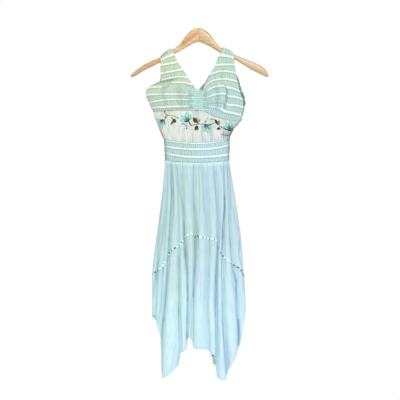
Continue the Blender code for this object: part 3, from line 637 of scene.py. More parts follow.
# Materials
class Nodes:
    """Short names for the nodes of one material."""

    def __init__(self, name):
        self.material = bpy.data.materials.new(name)
        self.material.use_nodes = True
        self.tree = self.material.node_tree
        self.shader = self.tree.nodes["Principled BSDF"]

    def add(self, kind, **settings):
        node = self.tree.nodes.new(kind)
        for key, value in settings.items():
            setattr(node, key, value)
        return node

    def link(self, source, target):
        self.tree.links.new(source, target)

    def fill(self, socket, value):
        if hasattr(value, "is_linked"):
            self.link(value, socket)
        else:
            socket.default_value = value

    def math(self, operation, first, second=0.0, third=0.0):
        node = self.add("ShaderNodeMath", operation=operation)
        for socket, value in zip(node.inputs, (first, second, third)):
            self.fill(socket, value)
        return node.outputs[0]

    def mix(self, share, first, second, blend="MIX"):
        node = self.add("ShaderNodeMix", data_type="RGBA", blend_type=blend)
        self.fill(node.inputs["Factor"], share)
        self.fill(node.inputs["A"], first)
        self.fill(node.inputs["B"], second)
        return node.outputs["Result"]

    def steps(self, value, low, high, start=0.0, end=1.0):
        node = self.add("ShaderNodeMapRange", interpolation_type="SMOOTHSTEP")
        for socket, given in zip(node.inputs, (value, low, high, start, end)):
            self.fill(socket, given)
        return node.outputs[0]

    def map_of(self, label):
        node = self.add("ShaderNodeUVMap", uv_map=label)
        parts = self.add("ShaderNodeSeparateXYZ")
        self.link(node.outputs[0], parts.inputs[0])
        return node.outputs[0], parts.outputs[0], parts.outputs[1]

    def product(self, first, second):
        return self.math("MULTIPLY", first, second)

    def times(self, colour, tint):
        return self.mix(1.0, colour, tint, "MULTIPLY")

    def tinted(self, share, colour, tint):
        """A colour multiplied by a tint, as far as the share says."""
        return self.mix(share, colour, self.times(colour, tint))

    def noise(self, vector, scale, detail=2.0, roughness=0.5, size=1.0):
        """Noise from 0 to 1. A scale of three numbers stretches it."""
        if isinstance(scale, tuple):
            vector, scale = self.stretched(vector, scale), size
        node = self.add("ShaderNodeTexNoise")
        self.link(vector, node.inputs["Vector"])
        node.inputs["Scale"].default_value = scale
        node.inputs["Detail"].default_value = detail
        node.inputs["Roughness"].default_value = roughness
        return node.outputs[0]

    def stretched(self, vector, scale):
        node = self.add("ShaderNodeMapping")
        self.link(vector, node.inputs["Vector"])
        node.inputs["Scale"].default_value = scale
        return node.outputs[0]

    def object_place(self):
        node = self.add("ShaderNodeTexCoord")
        parts = self.add("ShaderNodeSeparateXYZ")
        self.link(node.outputs["Object"], parts.inputs[0])
        return node.outputs["Object"], parts.outputs

    def weave(self, across, down, thread):
        """Height of a plain weave of threads of this width in millimetres, from 0 to 1."""
        warp = self.math("SINE", self.product(across, math.pi / thread))
        weft = self.math("SINE", self.product(down, math.pi / thread))
        return self.math("MULTIPLY_ADD", self.product(warp, weft), 0.5, 0.5)

    def bump(self, height, distance, strength):
        node = self.add("ShaderNodeBump")
        node.inputs["Strength"].default_value = strength
        node.inputs["Distance"].default_value = distance * MM
        self.link(height, node.inputs["Height"])
        return node.outputs[0]

    def shaded(self, colour, deep):
        """Darkens a colour with painted shade in the folds, where the cloth's Fold map says so."""
        _, dark, _ = self.map_of("Fold")
        return self.tinted(self.math("MINIMUM", dark, 1.0), colour, deep)

    def finish(self, colour, roughness, normal, tone, sheen=0.25, specular=0.3):
        """The material. Its tone is how much of the colour it gives back, as the lights exceed one."""
        self.fill(self.shader.inputs["Base Color"], self.times(colour, (tone, tone, tone, 1.0)))
        self.fill(self.shader.inputs["Roughness"], roughness)
        self.link(normal, self.shader.inputs["Normal"])
        self.shader.inputs["Sheen Weight"].default_value = sheen
        self.shader.inputs["Sheen Roughness"].default_value = SHEEN_ROUGHNESS
        self.shader.inputs["Specular IOR Level"].default_value = specular
        return self.material


def shade(red, green, blue):
    """A colour given as it looks on screen, from 0 to 255, as the shader's linear values."""
    linear = []
    for value in (red, green, blue):
        v = value / 255
        linear.append(v / 12.92 if v < 0.04045 else ((v + 0.055) / 1.055) ** 2.4)
    return (*linear, 1.0)


def side_light_tint(n, colour, left_light_tint, right_light_tint, reach=150.0):
    """Painted light: tints a colour from a warm light at the left to a cool light at the right."""
    share = n.steps(n.object_place()[1][0], -reach * MM, reach * MM)
    return n.times(colour, n.mix(share, left_light_tint, right_light_tint))


# The centre's colour, brighter than one since the cups' tone is lower than the centre's
CENTRE_MINT = (0.72, 1.0, 0.96, 1.0)

# What the light between the two cups does to their colours
BESIDE_CENTRE = (1.04, 1.05, 1.12, 1.0)


def striped_material(name, green, white, left_light_tint, right_light_tint):
    """Shirred cloth: green bands with gathered ticks of painted shade between white woven lines."""
    n = Nodes(name)
    cloth, across, down = n.map_of("Cloth")
    _, ticks, stripe = n.map_of("Pattern")
    _, _, fading = n.map_of("Fold")
    _, place = n.object_place()
    grain = n.noise(cloth, 0.09, 3.0, 0.6)
    fleck = n.noise(cloth, (0.42, 0.16, 1.0), 2.0, 0.6)

    # The white lines, worn thin in places and gone near the centre
    wobble = n.math("MULTIPLY_ADD", grain, 0.16, -0.08)
    offset = n.math("SUBTRACT", n.math("ADD", stripe, wobble), n.math("ROUND", stripe))
    band = n.steps(n.math("ABSOLUTE", offset), STRIPE_HALF * 0.55, STRIPE_HALF * 1.45)
    worn = n.steps(n.noise(cloth, 0.045), 0.5, 0.75, 0.0, 0.4)
    band = n.math("MAXIMUM", n.math("MAXIMUM", band, worn), n.steps(fading, 0.0, 0.5))

    # The bands, with a tick of painted shade in the hollow of each gather
    tick_wave = n.math("SINE", n.product(ticks, 2 * math.pi))
    gather_shade = n.steps(tick_wave, -1.0, 0.3, 1.0, 0.0)
    gather_shade = n.product(gather_shade, n.steps(fleck, 0.35, 0.62, 0.3, 1.0))
    body = n.mix(n.steps(fleck, 0.35, 0.7), green, n.mix(0.42, green, shade(250, 255, 252)))
    body = n.mix(gather_shade, body, n.times(green, shade(208, 214, 214)))
    body = n.mix(n.steps(fading, 0.3, 1.0), body, CENTRE_MINT)

    # Shade on either side of a line, the deeper below it
    above = n.product(offset, -1.0)
    under = n.steps(offset, STRIPE_HALF, STRIPE_HALF * 3.2, 0.65, 0.0)
    under = n.product(under, n.steps(offset, 0.0, STRIPE_HALF))
    over = n.steps(above, STRIPE_HALF, STRIPE_HALF * 2.2, 0.3, 0.0)
    over = n.product(over, n.steps(above, 0.0, STRIPE_HALF))
    body = n.mix(n.math("ADD", under, over), body, n.times(green, shade(182, 192, 190)))
    lace = n.mix(n.product(gather_shade, 0.5), white, n.mix(0.5, green, white))
    colour = side_light_tint(n, n.mix(band, lace, body), left_light_tint, right_light_tint)

    # Light from above and between the cups
    high = n.steps(place[2], -0.36, -0.15)
    colour = n.times(colour, n.mix(high, shade(248, 252, 255), shade(255, 252, 240)))
    beside = n.math("ABSOLUTE", n.math("SUBTRACT", place[0], 0.03))
    beside = n.steps(beside, 0.02, 0.075, 1.0, 0.0)
    beside = n.product(beside, n.steps(place[2], -0.28, -0.24, 1.0, 0.0))
    colour = n.tinted(beside, colour, BESIDE_CENTRE)
    colour = n.shaded(colour, shade(140, 158, 152))
    threads = n.weave(across, down, 0.55)
    height = n.math("ADD", n.product(threads, 0.25), n.product(tick_wave, 0.5))
    roughness = n.steps(grain, 0.2, 0.8, 0.78, 0.92)
    return n.finish(colour, roughness, n.bump(height, 0.3, 0.6), 0.70)


def gauze_material(name, light, dark):
    """Crinkled gauze, its long crinkles running down the cloth, with painted shade in their hollows."""
    n = Nodes(name)
    cloth, across, down = n.map_of("Cloth")
    crinkle = n.noise(cloth, (0.42, 0.026, 1.0), 4.0, 0.62)
    patches = n.noise(cloth, 0.03)
    # Painted shade in the hollows of the crinkles, where the bump is low
    body = n.mix(n.steps(crinkle, 0.3, 0.7), dark, light)
    body = n.mix(n.steps(patches, 0.35, 0.65, 0.0, 0.3), body, light)
    threads = n.weave(across, down, 0.6)
    height = n.math("ADD", n.product(threads, 0.2), n.product(crinkle, 1.6))
    return n, cloth, body, n.bump(height, 0.5, 0.8)


def midriff_material():
    pale, crinkle_shade = shade(246, 250, 246), shade(214, 222, 216)
    n, cloth, body, normal = gauze_material("embroidery_gauze", pale, crinkle_shade)
    blush = n.noise(cloth, (0.10, 0.03, 1.0))
    body = n.mix(n.steps(blush, 0.5, 0.75, 0.0, 0.55), body, shade(222, 212, 232))
    leafy = n.noise(cloth, (0.06, 0.02, 1.0), size=1.7)
    body = n.mix(n.steps(leafy, 0.5, 0.72, 0.0, 0.5), body, shade(196, 214, 186))
    colour = side_light_tint(n, body, shade(248, 252, 242), shade(240, 246, 255))
    return n.finish(n.shaded(colour, shade(160, 166, 172)), 0.88, normal, 0.68)


def skirt_material(name, light, dark, deep, tone):
    """Thin crinkled cloth, with painted shade towards the top, greener patches at the left and a painted
    side light.
    """
    n, cloth, body, normal = gauze_material(name, light, dark)
    _, place = n.object_place()
    cast = n.noise(cloth, (0.055, 0.006, 1.0))
    left = n.steps(place[0], -0.02, 0.05, 1.0, 0.0)
    right = n.math("SUBTRACT", 1.0, left)
    # Painted shade towards the top, a lilac tint at the hem, and greener patches at the left and lilac ones
    # at the right
    for share, tint in (
        (n.steps(place[2], -1.16, -0.62), shade(232, 226, 224)),
        (n.steps(place[2], -1.12, -0.96, 0.45, 0.0), shade(246, 238, 242)),
        (n.product(n.steps(cast, 0.42, 0.66, 0.0, 0.55), left), shade(252, 255, 238)),
        (n.product(n.steps(cast, 0.5, 0.34, 0.0, 0.6), right), shade(246, 240, 255)),
    ):
        body = n.tinted(share, body, tint)
    colour = side_light_tint(n, body, shade(253, 255, 251), shade(250, 252, 255), 170.0)
    # Painted shade in the folds, and a painted highlight on the heading's ridge from the Fold map's second
    # channel
    _, _, heading = n.map_of("Fold")
    colour = n.mix(heading, n.shaded(colour, deep), shade(212, 244, 246))
    return n.finish(colour, 0.85, normal, tone)


def thread_material(name, light, dark, sheen=0.1, specular=0.3, tone=0.74):
    """Embroidery thread laid side by side, darker towards the start of each stitch."""
    n = Nodes(name)
    _, across, along = n.map_of("Cloth")
    strand = n.math("SINE", n.product(across, 2 * math.pi))
    uneven = n.math("MULTIPLY_ADD", n.noise(n.object_place()[0], 900.0), 0.5, -0.25)
    share = n.math("ADD", n.steps(along, 0.05, 0.85), uneven)
    colour = n.mix(n.steps(share, 0.0, 1.0), dark, light)
    # Painted shade in the grooves between the strands
    colour = n.tinted(n.steps(strand, -1.0, -0.3, 0.35, 0.0), colour, shade(150, 150, 150))
    return n.finish(colour, 0.6, n.bump(strand, 0.25, 0.7), tone, sheen, specular)


def wood_material():
    """Clear lacquered light wood, its grain along the arms, with a wedge of painted shade in the left half.
    """
    n = Nodes("hanger_wood")
    place, (x, _, z) = n.object_place()
    off_middle = n.math("ABSOLUTE", x)
    rings = n.noise(place, (9.0, 60.0, 130.0), 4.0, 0.6)
    fine = n.noise(place, (60.0, 400.0, 900.0), 3.0, 0.6)
    body = n.mix(n.steps(rings, 0.32, 0.68), shade(216, 170, 104), shade(244, 212, 152))
    body = n.mix(n.steps(fine, 0.45, 0.7, 0.0, 0.3), body, shade(196, 146, 92))

    # The wedge of painted shade, under the left half's upper face, slants up to the joint
    left = n.product(n.steps(x, -0.066, -0.050), n.steps(x, -0.002, 0.001, 1.0, 0.0))
    slant = n.math("ADD", n.math("MULTIPLY_ADD", x, -0.7545, 0.0725), z)
    wedge_shade = n.steps(n.math("ABSOLUTE", slant), 0.003, 0.012, 1.0, 0.0)
    body = n.mix(n.product(n.product(left, wedge_shade), 0.9), body, shade(200, 128, 36))
    body = n.tinted(n.steps(x, -0.001, 0.001), body, shade(236, 236, 228))
    joint = n.steps(off_middle, 0.0003, 0.0009, 1.0, 0.0)
    body = n.mix(n.product(joint, 0.7), body, shade(120, 78, 44))

    # The arms, the right one paler
    arm = n.mix(n.steps(x, -0.02, 0.02), shade(208, 150, 74), shade(206, 174, 124))
    bright = n.mix(0.5, arm, shade(255, 250, 240))
    arm = n.mix(n.steps(rings, 0.35, 0.65, 0.0, 0.25), arm, bright)
    body = n.mix(n.steps(off_middle, 0.07, 0.16, 0.0, 0.7), body, arm)
    n.shader.inputs["Coat Weight"].default_value = 0.35
    n.shader.inputs["Coat Roughness"].default_value = 0.25
    normal = n.bump(n.math("SUBTRACT", fine, joint), 0.25, 0.35)
    return n.finish(body, n.steps(rings, 0.3, 0.7, 0.38, 0.52), normal, 0.58, 0.0, 0.5)


def steel_material():
    n = Nodes("bright_wire")
    brushed = n.noise(n.object_place()[0], (300.0, 300.0, 2500.0))
    n.shader.inputs["Metallic"].default_value = 1.0
    colour = n.mix(n.steps(brushed, 0.3, 0.7), shade(232, 234, 236), shade(250, 250, 250))
    roughness = n.steps(brushed, 0.3, 0.7, 0.16, 0.28)
    return n.finish(colour, roughness, n.bump(brushed, 0.05, 0.3), 1.0, 0.0, 0.5)


def floor_material():
    n = Nodes("pale_floor")
    cloudy = n.noise(n.object_place()[0], 2.0)
    colour = n.mix(cloudy, shade(252, 252, 252), shade(255, 255, 255))
    return n.finish(colour, 0.9, n.bump(cloudy, 0.2, 0.2), 0.9, 0.0, 0.2)


WHITE_LINE = shade(250, 255, 252)
# The colour of the painted shade in the skirt's folds
FOLD_SHADE_AQUA = shade(140, 180, 190)
striped = striped_material(
    "shirred_stripes", shade(196, 219, 204), WHITE_LINE, shade(250, 252, 244), shade(238, 250, 255)
)
waist_striped = striped_material(
    "waist_stripes", shade(188, 217, 212), WHITE_LINE, shade(250, 254, 248), shade(246, 252, 255)
)
gauze = midriff_material()
aqua = skirt_material("skirt_crinkle", shade(206, 238, 244), shade(186, 222, 232), FOLD_SHADE_AQUA, 0.90)
pale_aqua = skirt_material(
    "flounce_crinkle", shade(212, 242, 250), shade(192, 228, 240), FOLD_SHADE_AQUA, 0.83
)
mint = skirt_material(
    "tab_cloth", shade(206, 240, 238), shade(180, 224, 222), shade(130, 172, 164), 0.90
)
wood = wood_material()
steel = steel_material()
petal_thread = thread_material("petal_thread", shade(164, 222, 214), shade(76, 156, 150))
# Paler thread for a painted highlight in the middle of each petal
petal_highlight = thread_material("petal_highlight", shade(196, 240, 232), shade(130, 204, 194))
petal_deep = thread_material("petal_deep", shade(88, 158, 156), shade(34, 84, 82))
vine_thread = thread_material("vine_thread", shade(96, 92, 60), shade(46, 42, 24), 0.0, 0.1)
olive_thread = thread_material("olive_thread", shade(186, 184, 136), shade(120, 118, 80))
cream_thread = thread_material("cream_thread", shade(234, 242, 220), shade(214, 226, 198))
braid_pale = thread_material("braid_pale", shade(214, 250, 252), shade(198, 240, 246), tone=0.98)
braid_dark = thread_material("braid_dark", shade(126, 168, 174), shade(80, 120, 128))
loose_thread = thread_material("loose_thread", shade(222, 238, 238), shade(180, 204, 206))


# Hanger
def hanger_column(x, column):
    table = np.array(HANGER, float)
    return np.interp(x, table[:, 0], table[:, column])


def tube(name, path, radii, material, sides):
    """A round tube along a smooth path in millimetres, closed at both ends."""
    path = np.asarray(path, float)
    radii = np.broadcast_to(radii, (len(path),))
    run = unit(np.gradient(path, axis=0))
    side = np.cross(run[0], (0.0, 1.0, 0.0))
    if np.linalg.norm(side) < 0.1:
        side = np.cross(run[0], (0.0, 0.0, 1.0))
    rings = []
    for at in range(len(path)):
        side = unit(side - run[at] * side.dot(run[at]))
        rings.append(ring(path[at], side, np.cross(run[at], side), radii[at], sides))
    return listed_piece(name, np.concatenate(rings), closed_rings(len(path), sides), material)


def make_arms():
    """The wood, its places closer together at the tips."""
    spans = ((-222, -200, 14), (-198, 202, 201), (204, 226, 14))
    places = np.concatenate([np.linspace(*span) for span in spans])
    top, under, width = (softened(hanger_column(places, column), 2) for column in (1, 2, 3))
    turn = np.linspace(0, 2 * np.pi, HANGER_SIDES, endpoint=False)
    across = np.sign(np.cos(turn)) * np.abs(np.cos(turn)) ** HANGER_ROUNDING
    up = np.sign(np.sin(turn)) * np.abs(np.sin(turn)) ** HANGER_ROUNDING
    points = np.empty((len(places), HANGER_SIDES, 3))
    points[..., 0] = places[:, None]
    points[..., 1] = HANGER_THICK / 2 * width[:, None] * across
    points[..., 2] = -((top + under) / 2)[:, None] + ((under - top) / 2)[:, None] * up
    faces = closed_rings(len(places), HANGER_SIDES)
    arms = listed_piece("hanger_arms", points.reshape(-1, 3), faces, wood, outward=True)
    dress(arms, "hanger_bar")


def make_hook():
    """The wire: a straight shank, a curved neck and the bend."""
    radius = HOOK_INNER_RADIUS + WIRE_RADIUS
    bend = np.radians(np.linspace(HOOK_START_ANGLE, HOOK_END_ANGLE, 90))
    arc = np.stack([np.cos(bend), 0 * bend, np.sin(bend)], -1) * radius
    arc[:, 2] -= HOOK_INNER_RADIUS
    start = bend[0]
    top_of_shank = np.array((0.0, 0.0, -SHANK_TOP_DROP))
    top_handle = top_of_shank + (0, 0, radius / 2)
    join_handle = arc[0] - np.array((-math.sin(start), 0, math.cos(start))) * radius / 2
    t = np.linspace(0, 1, 24)[:-1, None]
    neck = top_of_shank * (1 - t) ** 3 + top_handle * 3 * t * (1 - t) ** 2
    neck = neck + join_handle * 3 * t * t * (1 - t) + arc[0] * t**3
    shank = np.linspace((0, 0, -SHANK_FOOT_DROP), top_of_shank, 12)[:-1]
    path = np.concatenate([shank, neck, arc])
    radii = np.full(len(path), WIRE_RADIUS)
    radii[-4:] *= (1.0, 0.96, 0.8, 0.45)
    dress(tube("hook_wire", path, radii, steel, 20), "hanger_hook")


# Bodice
def strap_row(side, facing, angle, u):
    x_out, x_in = STRAP_TOPS[side]
    x = x_out + (x_in - x_out) * u
    turn = math.radians(angle)
    lift = STRAP_LIFT + STRAP_CRUMPLE * np.sin(np.pi * u) * math.cos(turn) ** 2
    y = np.full_like(u, facing * STRAP_RADIUS * math.sin(turn))
    up = STRAP_RADIUS * math.cos(turn)
    return np.stack([x, y, -hanger_column(x, 1) - HANGER_THICK / 2 + up + lift], -1)


def bodice_row(row, u):
    x_out, drop_out, deep_out, x_in, drop_in, deep_in, sag, bulge, turn, wrap = row[:10]
    x_share = u + (1 - np.cos(np.pi / 2 * u) - u) * turn
    y_share = u + (np.sin(np.pi / 2 * u) - u) * turn
    x = x_out + (x_in - x_out) * x_share
    x += math.copysign(wrap, x_out) * (u / WRAP_PEAK) * np.exp(1 - u / WRAP_PEAK)
    drop = drop_out + (drop_in - drop_out) * x_share + 4 * x_share * (1 - x_share) * sag
    deep = deep_out + (deep_in - deep_out) * y_share
    deep += math.copysign(bulge, deep_in) * np.sin(np.pi * u**BULGE_SKEW)
    return np.stack([x, -deep, -drop], -1)


def fine_places(keys, step):
    """Places between key rows, about a step apart on the cloth."""
    gaps = np.linalg.norm(np.diff(keys, axis=0), axis=2).mean(axis=1)
    places = [np.linspace(i, i + 1, max(2, round(g / step)), endpoint=False) for i, g in enumerate(gaps)]
    return np.concatenate([*places, [len(keys) - 1]])


def band_puff(stripe):
    """How far a band stands out, 0 at the white lines and 1 in the middle of a band."""
    line = np.abs(stripe - np.round(stripe))
    t = np.clip((line - 0.10) / 0.40, 0, 1)
    return 1 - (1 - t) ** 2.2


def shirring(seed, run, down, stripe):
    """Height of the shirred cloth and the phase of its gathers, uneven along each band."""
    phase = run / SHIRR_PITCH + 0.55 * cloud(seed, run, down, 13.0, 17.0)
    phase = phase + 0.2 * cloud(seed + 1, run, down, 5.0, 26.0)
    near_line = np.abs(stripe - np.round(stripe))
    strength = 0.55 + 0.45 * np.exp(-(((near_line - 0.2) / 0.13) ** 2))
    strength = strength * (0.75 + 0.35 * cloud(seed + 2, run, down, 11.0, 9.0))
    height = PUFF_HEIGHT * band_puff(stripe) * (1 + 0.25 * cloud(seed + 3, run, down, 16.0, 25.0))
    height += SHIRR_HEIGHT * strength * np.sin(2 * np.pi * phase)
    height += 0.7 * cloud(seed + 4, run, down, 38.0, 30.0)
    return height, phase


def ruche_phase(drop):
    """Place among the ruches that cross the centre, uneven down the front."""
    return drop / RUCHE_PITCH + 0.4 * drift(23, drop, 9.0)


def centre_ruches(points, to_centre, height, dark):
    """Ruches that reach into a cup from the tab, with painted shade in their hollows, and how far the lines
    fade there.
    """
    drop = -points[..., 2]
    at_tab = smoothstep(TAB_TOP_DROP - 14, TAB_TOP_DROP + 6, drop)
    near = at_tab * np.exp(-to_centre / RUCHE_REACH)
    ruche = np.cos(2 * np.pi * (ruche_phase(drop) + to_centre / 60))
    height = height * (1 - 0.7 * near) + 1.7 * near * ruche
    dark = dark + near * np.clip(-ruche, 0, 1) * 0.55
    return height, dark, at_tab * np.exp(-to_centre / MINT_REACH)


def right_cup_lines(stripe, share, to_centre, fading):
    """The right cup's lines, drawn down at the centre and set off from one another at its crease."""
    drawn = np.interp(stripe, *zip(*LINES_DRAWN))
    stripe = stripe - drawn * np.exp(-to_centre / DRAWN_REACH)
    centre, start, *_, lean = RIGHT_CREASES[0]
    past = share - centre - lean * (stripe - start)
    dropped = smoothstep(0.02, -0.02, past) * np.exp(-((past / 0.22) ** 2))
    crossed = smoothstep(4.4, 5.7, stripe) * smoothstep(7.7, 7.2, stripe)
    inner = smoothstep(-0.01, 0.06, past)
    raised = smoothstep(-0.10, 0.25, past) * np.exp(-(((stripe - 7.9) / 0.5) ** 2))
    stripe = stripe - 0.24 * dropped * crossed + 0.3 * raised
    faded = 0.5 * inner * np.exp(-(((stripe - 7.0) / 0.4) ** 4))
    return stripe, np.maximum(fading, faded)


def left_cup_tuck(stripe, share, fading, height, dark):
    """The tuck over the left cup with painted shade in it, the lines round it and painted shade on the top
    of its strap.
    """
    strap_top = np.exp(-(((stripe - 0.42) / 0.22) ** 2)) * smoothstep(0.75, 0.35, share)
    ends = smoothstep(TUCK_END + 0.12, TUCK_END - 0.12, share) * smoothstep(0.02, 0.12, share)
    tuck = np.exp(-(((stripe - TUCK_STRIPE + 0.4 * share) / TUCK_HALF) ** 2)) * ends
    raised = smoothstep(0.56, 0.68, share) * np.exp(-(((stripe - 4.75) / 0.5) ** 2))
    stripe = stripe + 0.5 * raised * (1 - 0.5 * smoothstep(0.85, 1.0, share))
    gap = smoothstep(0.46, 0.56, share) * smoothstep(0.72, 0.62, share)
    fading = np.maximum(fading, 0.5 * gap * np.exp(-(((stripe - 5.0) / 0.45) ** 4)))
    return stripe, fading, height - 2.0 * tuck, dark + 0.55 * strap_top + 0.62 * tuck


def bodice_piece(node, rows, side, facing, creases, seed, cell, neck_free, arm_free):
    """A cup or a back piece, from the strap's top to the seam under the bust."""
    width = max(abs(row[0] - row[3]) for row in rows)
    u = np.linspace(0, 1, round(width / cell))
    keys = [strap_row(side, facing, angle, u) for angle in STRAP_ANGLES]
    keys += [bodice_row(row, u) for row in rows]
    places = fine_places(keys, cell * 1.2)
    points = catmull(keys, places).transpose(1, 0, 2)
    stripe_keys = [*STRAP_STRIPES, *(row[10] for row in rows)]
    stripe = np.interp(places, range(len(stripe_keys)), stripe_keys)
    stripe = np.broadcast_to(stripe, points.shape[:2])
    share = np.broadcast_to(u[:, None], points.shape[:2])
    hand = -1
    if side == "right":
        hand = 1
        points = points[::-1]
        share = share[::-1]
    run, down = middle_runs(points)
    to_arm = share * width
    to_centre = (1 - share) * width
    height, phase = shirring(seed, run, down, stripe)
    dark = np.zeros_like(height)
    # Creases, each a groove with painted shade in it
    for centre, start, end, breadth, depth, shadow, lean in creases:
        window = smoothstep(start - CREASE_END, start + CREASE_END, stripe)
        window = window * smoothstep(end + CREASE_END, end - CREASE_END, stripe)
        wander = centre + lean * (stripe - start) + 0.015 * drift(seed + 9, stripe, 1.4)
        groove = window * np.exp(-(((share - wander) / breadth) ** 2))
        height = height - depth * groove
        dark = dark + shadow * groove
    fading = np.zeros_like(height)
    if facing == FRONT:
        height, dark, fading = centre_ruches(points, to_centre, height, dark)
        if side == "right":
            stripe, fading = right_cup_lines(stripe, share, to_centre, fading)
        else:
            stripe, fading, height, dark = left_cup_tuck(stripe, share, fading, height, dark)
    else:
        # Painted shade over the back pieces, deeper where they turn round the side under the arm, and on
        # the right one where it shows beyond the cup
        turn = np.exp(-((to_arm / SIDE_TURN) ** 2))
        dark = dark + 0.1 + 0.3 * smoothstep(arm_free, arm_free + 0.4, stripe) * turn
        if side == "right":
            dark = dark + 0.65 * smoothstep(3.0, 3.8, stripe) * smoothstep(7.2, 6.4, stripe) * turn

    # The shirring lies flat where the cloth is sewn, and its free edges are scalloped
    sewn = smoothstep(0, 5, from_sides(lengths_along(points, 0)))
    sewn = np.minimum(sewn, smoothstep(0.0, 4.0, down[:, -1:] - down) * 0.9 + 0.1)
    height = height * (0.25 + 0.75 * sewn) * (smoothstep(0.0, 5.0, down) * 0.7 + 0.3)
    scallop = 1.5 * band_puff(stripe) - 0.4 + 0.35 * cloud(seed + 5, down, stripe, 5.0, 1.0)
    arm = smoothstep(arm_free + 0.3, arm_free - 0.3, stripe) * np.exp(-to_arm / 5.0)
    neck = smoothstep(neck_free + 0.3, neck_free - 0.3, stripe) * np.exp(-to_centre / 5.0)
    spread = unit(np.gradient(points, axis=0)) * (hand * scallop * (arm - neck))[..., None]
    points = points + surface_normals(points, facing) * height[..., None] + spread
    maps = (("Cloth", run, down), ("Pattern", phase, stripe), ("Fold", dark, fading))
    rests_on = ("hanger_bar",)
    cloth_piece(
        node, "striped_cloth", points, maps, striped, facing, BODICE_FULLNESS, rests_on=rests_on
    )


def make_tab():
    """The small ruched tab between the cups."""
    share = np.linspace(0, 1, TAB_COLUMNS)[:, None]
    top = TAB_TOP_DROP + TAB_TOP_SINK - TAB_LEFT_RISE * (1 - share) ** 1.5
    drops = top + (TAB_FOOT_DROP - top) * np.linspace(0, 1, TAB_ROWS)
    edges = []
    for rows, underlap in ((CUP_LEFT, -TAB_UNDERLAP), (CUP_RIGHT, TAB_UNDERLAP)):
        table = np.array([(row[4], row[3], row[5]) for row in rows], float)
        edges.append(np.interp(drops, table[:, 0], table[:, 1]) + underlap)
        edges.append(np.interp(drops, table[:, 0], table[:, 2]))
    x_left, deep_left, x_right, deep_right = edges
    deep = deep_left + (deep_right - deep_left) * share - TAB_HOLLOW * np.sin(np.pi * share)
    tucked = 0.5 * (1 - smoothstep(0.0, 0.22, share) * smoothstep(1.0, 0.78, share))
    points = np.stack([x_left + (x_right - x_left) * share, tucked - deep, -drops], -1)
    run = lengths_along(points, 0)
    down = lengths_along(points, 1)
    ruche = np.cos(2 * np.pi * (ruche_phase(drops) + 0.15 * cloud(71, run, down, 9.0, 14.0)))
    height = 1.0 + 0.9 * ruche + 0.3 * cloud(72, run, down, 4.0, 4.0)
    points = points + surface_normals(points, FRONT) * height[..., None]
    # Painted shade in the hollows of the ruches
    dark = 0.5 * np.clip(-ruche, 0, 1)
    maps = (("Cloth", run, down), ("Fold", dark, 0 * dark))
    names = ("centre_gather", "striped_cloth")
    cloth_piece(*names, points, maps, mint, FRONT, TAB_FULLNESS, name="ruched_centre")


# Midriff and waistband
def waist_share(share):
    """Shares across the waist, closer together at the side seams."""
    return share + (0.5 - 0.5 * np.cos(np.pi * share) - share) * 0.5


def waist_point(x_share, v, facing):
    """A place on the waistband by its shares across and down."""
    c = 2 * x_share - 1
    x = WAIST_LEFT + (WAIST_RIGHT - WAIST_LEFT) * x_share
    x = x + (WAIST_FLARE_RIGHT * x_share - WAIST_FLARE_LEFT * (1 - x_share)) * (1 - v)
    depth = WAIST_FRONT_DEPTH if facing == FRONT else WAIST_BACK_DEPTH
    y = facing * (depth * np.sqrt(np.maximum(1 - c * c, 0)) + SEAM_GAP / 2)
    top = WAIST_TOP_DROP - WAIST_TOP_SMILE * c * c
    foot = WAIST_FOOT_DROP - WAIST_FOOT_SMILE * c * c
    return np.stack(np.broadcast_arrays(x, y, -(top + (foot - top) * v)), -1)


def gathers(seed, run, length, pitch, reach):
    """Gathers that start at a seam and die away down the cloth, each at its own length."""
    phase = run / pitch + 0.5 * drift(seed, run, 14.0)
    fade = reach * (0.75 + 0.45 * drift(seed + 1, run, pitch * 1.4))
    return np.sin(2 * np.pi * phase) * np.exp(-length / fade)


def make_midriff(node, left, right, facing, columns, rows, seed):
    """Gathered gauze from the lower edge of the bodice to the waistband."""
    u = np.linspace(0, 1, 120)
    edge = np.concatenate([bodice_row(left[-1], u), bodice_row(right[-1], u)[::-1]])
    runs = runs_of(edge)
    start = read_at(np.linspace(0, runs[-1], columns), runs, edge) - (0, 0, SEAM_GAP)
    share = np.linspace(0, 1, columns)
    end = waist_point(waist_share(share), 0.0, facing) + (0, 0, SEAM_GAP)
    v = np.linspace(0, 1, rows)[None, :]
    ease = (MIDRIFF_LEFT_EASE + (MIDRIFF_RIGHT_EASE - MIDRIFF_LEFT_EASE) * share)[:, None]
    shares = np.stack(np.broadcast_arrays(1 - (1 - v) ** ease, v, v), -1)
    points = start[:, None] + (end - start)[:, None] * shares
    down = lengths_along(points, 1)
    up = down[:, -1:] - down
    level = lengths_along(points, 0)
    run = np.broadcast_to(level[:, -1:], (columns, rows))
    run = run - run[columns // 2]
    lean = run + 0.10 * (run - run.mean()) * up / 100 + 3.0 * drift(seed + 8, up, 40.0)
    height = 1.3 * gathers(seed, lean, up, *WAIST_GATHERS)
    height += 0.7 * gathers(seed + 3, run, down, *BUST_GATHERS)
    height += 1.0 * cloud(seed + 5, lean, down, 12.0, 70.0)
    height += 0.35 * cloud(seed + 6, run, down, 4.5, 26.0) + 0.9 * cloud(seed + 7, run, down, 30.0, 45.0)
    edge = from_sides(level)
    # Painted shade in the hollows of the gathers, under the seam at the top and along the side seams
    dark = np.clip(-height - 0.2, 0, 2.2) * 0.28 + 0.18 * np.exp(-down / 3.0)
    dark = dark + 1.1 * np.exp(-((edge / 12.0) ** 2)) * smoothstep(75, 45, up)
    height *= (0.15 + 0.85 * smoothstep(0, 8, edge)) * smoothstep(-1.0, 3.0, up)
    height -= 1.1 * np.exp(-down / 1.8) + 0.3 * np.exp(-up / 1.6)
    points = points + surface_normals(points, facing) * height[..., None]
    maps = (("Cloth", run, down), ("Fold", dark, 0 * dark))
    cloth_piece(node, "midriff_gauze", points, maps, gauze, facing, GAUZE_FULLNESS)
    return points


